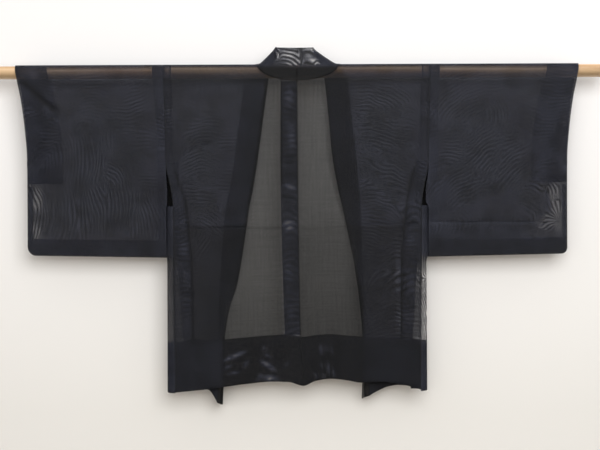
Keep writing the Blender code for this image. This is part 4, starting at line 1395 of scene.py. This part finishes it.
COLLAR_FRINGES = {
    "x": (-46, -14, 32, 60, -62),
    "z": (38, 34, 47, 30, 24),
    "reach": (12, 26, 30, 20, 20),
    "way": (12, 73, 89, 60, 130),
    "bend": (0.4, 0.3, 0.2, 0.2, 0.2),
    "spacing": (9, 9.7, 22, 8, 8),
}
COLLAR_SPOTS = {
    "x": (-14, 2, 30, 33, -44, -8),
    "z": (36, 32, 44, 20, 38, 18),
    "rx": (22, 10, 15, 20, 8, 24),
    "rz": (18, 18, 12, 8, 16, 9),
    "strength": (0.8, 0.75, 0.65, 0.85, 0.6, 0.75),
}
COLLAR_SEAM_X = 10.5  # the halves' joined allowances lie to the wearer's right of the centre


def collar_paint(grid):
    """Dense down the fronts; sheer and strongly watered where it stands up behind the neck."""
    x, z = grid[..., 0], grid[..., 2]
    above_body = ease((z - 11) / 4)
    standing = above_body * ease((62 - np.abs(x)) / 18)
    cover = mix(0.84, 0.87, standing)
    seam = line_at(x - COLLAR_SEAM_X, 1.8) * ease((z - 10) / 6)
    figure = np.maximum(0.03, spots(x, z, COLLAR_SPOTS) * above_body) * (1 - seam)
    # painted light: where the collar stands up, the figure's light lines are painted into the colour, and
    # above the rod's top its colour is lighter
    watered = mix(0.05, 0.9, standing) * np.minimum(figure * 2, 1)
    return {
        "cover": cover + 0.12 * seam,
        "figure": figure,
        "fringe": fringes(x, z, COLLAR_FRINGES, 17, 1 / 500),
        "bloom": np.maximum(watered, 0.42 * ease((z - 6) / 8)) * (1 - seam),
    }


for side, name in SIDES.items():
    piece = cloth(f"collar_cloth_{name}", collar_grid(side), black_gauze, collar_paint, COLLAR_WALL)
    sew_on(piece, f"collar_{name}")

# ------------------------------------------------------------------ loops for the tie
# The chi: on each front a short loop of twisted black silk cord is stitched to the collar's outer
# face. The haori's tie is hooked on here. Two strands show as a slanting groove.
LOOP_LENGTH, LOOP_WIDTH, LOOP_CORD = 26.0, 9.0, 2.4
LOOP_TOP = -345.0
LOOP_SHARE = 0.66  # of the collar's width, from its seam
STRAND_PITCH = 4.2  # along the cord, from one groove to the next

silk_cord, tree = new_material("twisted black silk")
where = add(tree, "ShaderNodeTexCoord")
fibre = add(tree, "ShaderNodeTexNoise", {"Vector": where.outputs["Object"], "Scale": 1400.0, "Detail": 2.0})
colour = ramp(tree, fibre.outputs["Fac"], (0.35, linear("#0d0d10")), (0.7, linear("#26262c")))
bump = add(tree, "ShaderNodeBump", {"Strength": 0.4, "Distance": 0.1 * MM, "Height": fibre.outputs["Fac"]})
shader = add(
    tree,
    "ShaderNodeBsdfPrincipled",
    {
        "Base Color": colour,
        "Roughness": 0.45,
        "Specular IOR Level": 0.4,
        "Sheen Weight": 0.15,
        "Normal": bump.outputs["Normal"],
    },
)
add(tree, "ShaderNodeOutputMaterial", {"Surface": shader.outputs[0]})


def loop_path(side, count=96):
    """Points along the loop's cord, in even steps: two straight runs and a round at each end."""
    radius = LOOP_WIDTH / 2
    straight = LOOP_LENGTH - LOOP_WIDTH
    half_turn = math.pi * radius
    around = 2 * (straight + half_turn)
    points = []
    for step in np.arange(count) * around / count:
        if step < half_turn:
            angle, drop = step / radius, 0.0
        elif step < half_turn + straight:
            angle, drop = math.pi, half_turn - step
        elif step < 2 * half_turn + straight:
            angle, drop = (step - straight) / radius, -straight
        else:
            angle, drop = 0.0, step - around
        row = collar_points(side, -place_of(LOOP_TOP + radius * math.sin(angle) + drop), 48)
        middle = round(48 * LOOP_SHARE)
        along = row[middle + 1] - row[middle - 1]
        along = along / np.linalg.norm(along)
        outward = np.array((side * along[1], -side * along[0], 0.0))
        outward = outward / np.linalg.norm(outward)
        raised = (COLLAR_WALL + LOOP_CORD) / 2 - 0.1
        points.append(row[middle] + along * radius * math.cos(angle) + outward * raised)
    return np.array(points), around


for side, name in SIDES.items():
    path, around = loop_path(side)
    run = np.roll(path, -1, axis=0) - np.roll(path, 1, axis=0)
    run = run / np.linalg.norm(run, axis=1, keepdims=True)
    across = np.cross(run, np.array((0.0, 1.0, 0.0)))
    across = across / np.linalg.norm(across, axis=1, keepdims=True)
    up = np.cross(across, run)
    grooves = round(around / STRAND_PITCH)
    turned = math.pi * grooves * np.arange(len(path))[:, None] / len(path)
    angle = np.linspace(0, 2 * math.pi, 14, endpoint=False)[None, :]
    radius = LOOP_CORD / 2 * (0.72 + 0.28 * np.abs(np.cos(angle - turned)))
    rings = (radius * np.cos(angle))[..., None] * across[:, None]
    rings = rings + (radius * np.sin(angle))[..., None] * up[:, None]
    points = (path[:, None] + rings).reshape(-1, 3) * MM
    index = np.arange(len(points)).reshape(rings.shape[:2])
    after, beside = np.roll(index, -1, axis=0), np.roll(index, -1, axis=1)
    faces = np.stack([index, beside, np.roll(beside, -1, axis=0), after], axis=-1).reshape(-1, 4)
    mesh = bpy.data.meshes.new(f"loop_cord_{name}")
    mesh.from_pydata(points.tolist(), [], faces.tolist())
    face_outwards(mesh)
    mesh.materials.append(silk_cord)
    piece = new_object(mesh.name, mesh)
    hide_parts(f"loop_{name}")
    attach(piece, "root")

# ------------------------------------------------------------------ stitches
# The garment is sewn by hand with black silk thread. Running stitches hold the seams; blind
# stitches, of which only a prick shows, hold the hems and the cuff facings. The thread is 0.2 mm
# in the real thing, and is drawn at 0.6 mm so that close views show it.
SEAM_PITCH, SEAM_STITCH = 5.0, 2.6
BLIND_PITCH, BLIND_STITCH = 22.0, 1.6
THREAD = 0.6
STITCH_LIFT = 0.35  # of a thread's middle, over the middle of the cloth
BESIDE_SEAM = 1.4


def sewing(name):
    """A tree that lays stitches along every line of a mesh."""
    tree = bpy.data.node_groups.new(name, "GeometryNodeTree")
    tree.interface.new_socket("Geometry", in_out="INPUT", socket_type="NodeSocketGeometry")
    sizes = {"Pitch": SEAM_PITCH, "Stitch length": SEAM_STITCH, "Thread": THREAD}
    sockets = {}
    for label, value in sizes.items():
        socket = tree.interface.new_socket(label, in_out="INPUT", socket_type="NodeSocketFloat")
        socket.default_value = value * MM
        sockets[label] = socket.identifier
    tree.interface.new_socket("Geometry", in_out="OUTPUT", socket_type="NodeSocketGeometry")
    given = add(tree, "NodeGroupInput")
    line = add(tree, "GeometryNodeMeshToCurve", {"Mesh": given.outputs["Geometry"]})
    spaced = add(
        tree,
        "GeometryNodeResampleCurve",
        {"Curve": line.outputs[0], "Length": given.outputs["Pitch"]},
        mode="LENGTH",
    )
    way = add(tree, "GeometryNodeInputTangent")
    turned = add(tree, "FunctionNodeAlignRotationToVector", {"Vector": way.outputs[0]}, axis="Z")
    half_sizes = []
    for label in ("Thread", "Thread", "Stitch length"):
        half = add(tree, "ShaderNodeMath", {0: given.outputs[label], 1: 0.5}, operation="MULTIPLY")
        half_sizes.append(half.outputs[0])
    size = add(tree, "ShaderNodeCombineXYZ", dict(zip("XYZ", half_sizes)))
    bead = add(tree, "GeometryNodeMeshUVSphere", {"Segments": 6, "Rings": 4, "Radius": 1.0})
    stitch = add(tree, "GeometryNodeTransform", {"Geometry": bead.outputs[0], "Scale": size.outputs[0]})
    laid = add(
        tree,
        "GeometryNodeInstanceOnPoints",
        {"Points": spaced.outputs[0], "Instance": stitch.outputs[0], "Rotation": turned.outputs[0]},
    )
    real = add(tree, "GeometryNodeRealizeInstances", {"Geometry": laid.outputs[0]})
    thread = add(tree, "GeometryNodeSetMaterial", {"Geometry": real.outputs[0], "Material": silk_cord})
    add(tree, "NodeGroupOutput", {"Geometry": thread.outputs[0]})
    return tree, sockets


def sew(name, lines, pitch, stitch):
    """Stitches along lines of points, made a plain mesh."""
    points, edges = [], []
    for line in lines:
        first = len(points)
        points += [tuple(point * MM) for point in line]
        edges += [(n, n + 1) for n in range(first, len(points) - 1)]
    mesh = bpy.data.meshes.new(name)
    mesh.from_pydata(points, edges, [])
    made = new_object(name, mesh)
    tree, sockets = sewing(name)
    run = made.modifiers.new("stitches", "NODES")
    run.node_group = tree
    run[sockets["Pitch"]] = pitch * MM
    run[sockets["Stitch length"]] = stitch * MM
    run[sockets["Thread"]] = THREAD * MM
    apply_modifiers(made, name).shade_smooth()
    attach(made, "root")


def body_line(side, reach, places):
    """A line down a body length, reach(z) from the centre at each place of the drape."""
    line = []
    for place in places:
        x = np.array([side * float(reach(on_drape(place)[1]))])
        line.append(body_points(x, place, None, -STITCH_LIFT)[0])
    return line


def sleeve_point(side, across, place):
    """One point of a line of stitches on a sleeve."""
    return sleeve_points(side, np.array([across]), place, None, -STITCH_LIFT)[0]


def hem_line(side, back, height):
    """A line across a body length at a height that varies."""
    start = 20.0 if back else 1.1 * float(seam_across(side, float(height(side * 200))))
    end = float((side_back if back else side_front)(-640)) - 4
    x = side * np.arange(start, end, 4.0)
    place = place_of(float(height(side * ROW_MIDDLE))) * (1 if back else -1)
    return body_points(x, place, height(x), -STITCH_LIFT)


seam_lines, blind_lines = [], []
over = up_and_over(np.arange(ARMHOLE_END, HANG_TOP, 8.0))[:-1]
centre_places = place_of(np.arange(-716, -24, 8.0))
seam_lines.append(body_line(1, lambda z: centre_seam(z) + BESIDE_SEAM, centre_places))
for side in SIDES:
    seam_lines.append(body_line(side, lambda z: side_back(z) - BESIDE_SEAM, over))
    down = np.arange(-732, GUSSET_TOP, 8.0)
    seam_lines.append(body_line(side, lambda z: side_back(z) - BESIDE_SEAM, place_of(down)))
    seam_lines.append(body_line(side, lambda z: side_front(z) - BESIDE_SEAM, -place_of(down)))
    seam_lines.append(sleeve_bottom_row(side, 4, 6, 2.5, -STITCH_LIFT))
    up_edge = np.arange(-404, CUFF_END, 6.0)
    seam_lines.append([sleeve_point(side, float(sleeve_edge(z)) - 4.0, place_of(z)) for z in up_edge])
    for way in (1, -1):
        line = []
        for z in np.arange(FACING_END + 4, HANG_TOP, 8.0):
            across = float(sleeve_edge(z)) - float(facing_width(z)) + 2.0
            line.append(sleeve_point(side, across, way * place_of(z)))
        blind_lines.append(line)
    blind_lines.append(hem_line(side, True, lambda x: back_turn_up(x) - 3))
    blind_lines.append(hem_line(side, False, lambda x: front_turn_up(x) - 3))
sew("seam_stitches", seam_lines, SEAM_PITCH, SEAM_STITCH)
sew("blind_stitches", blind_lines, BLIND_PITCH, BLIND_STITCH)
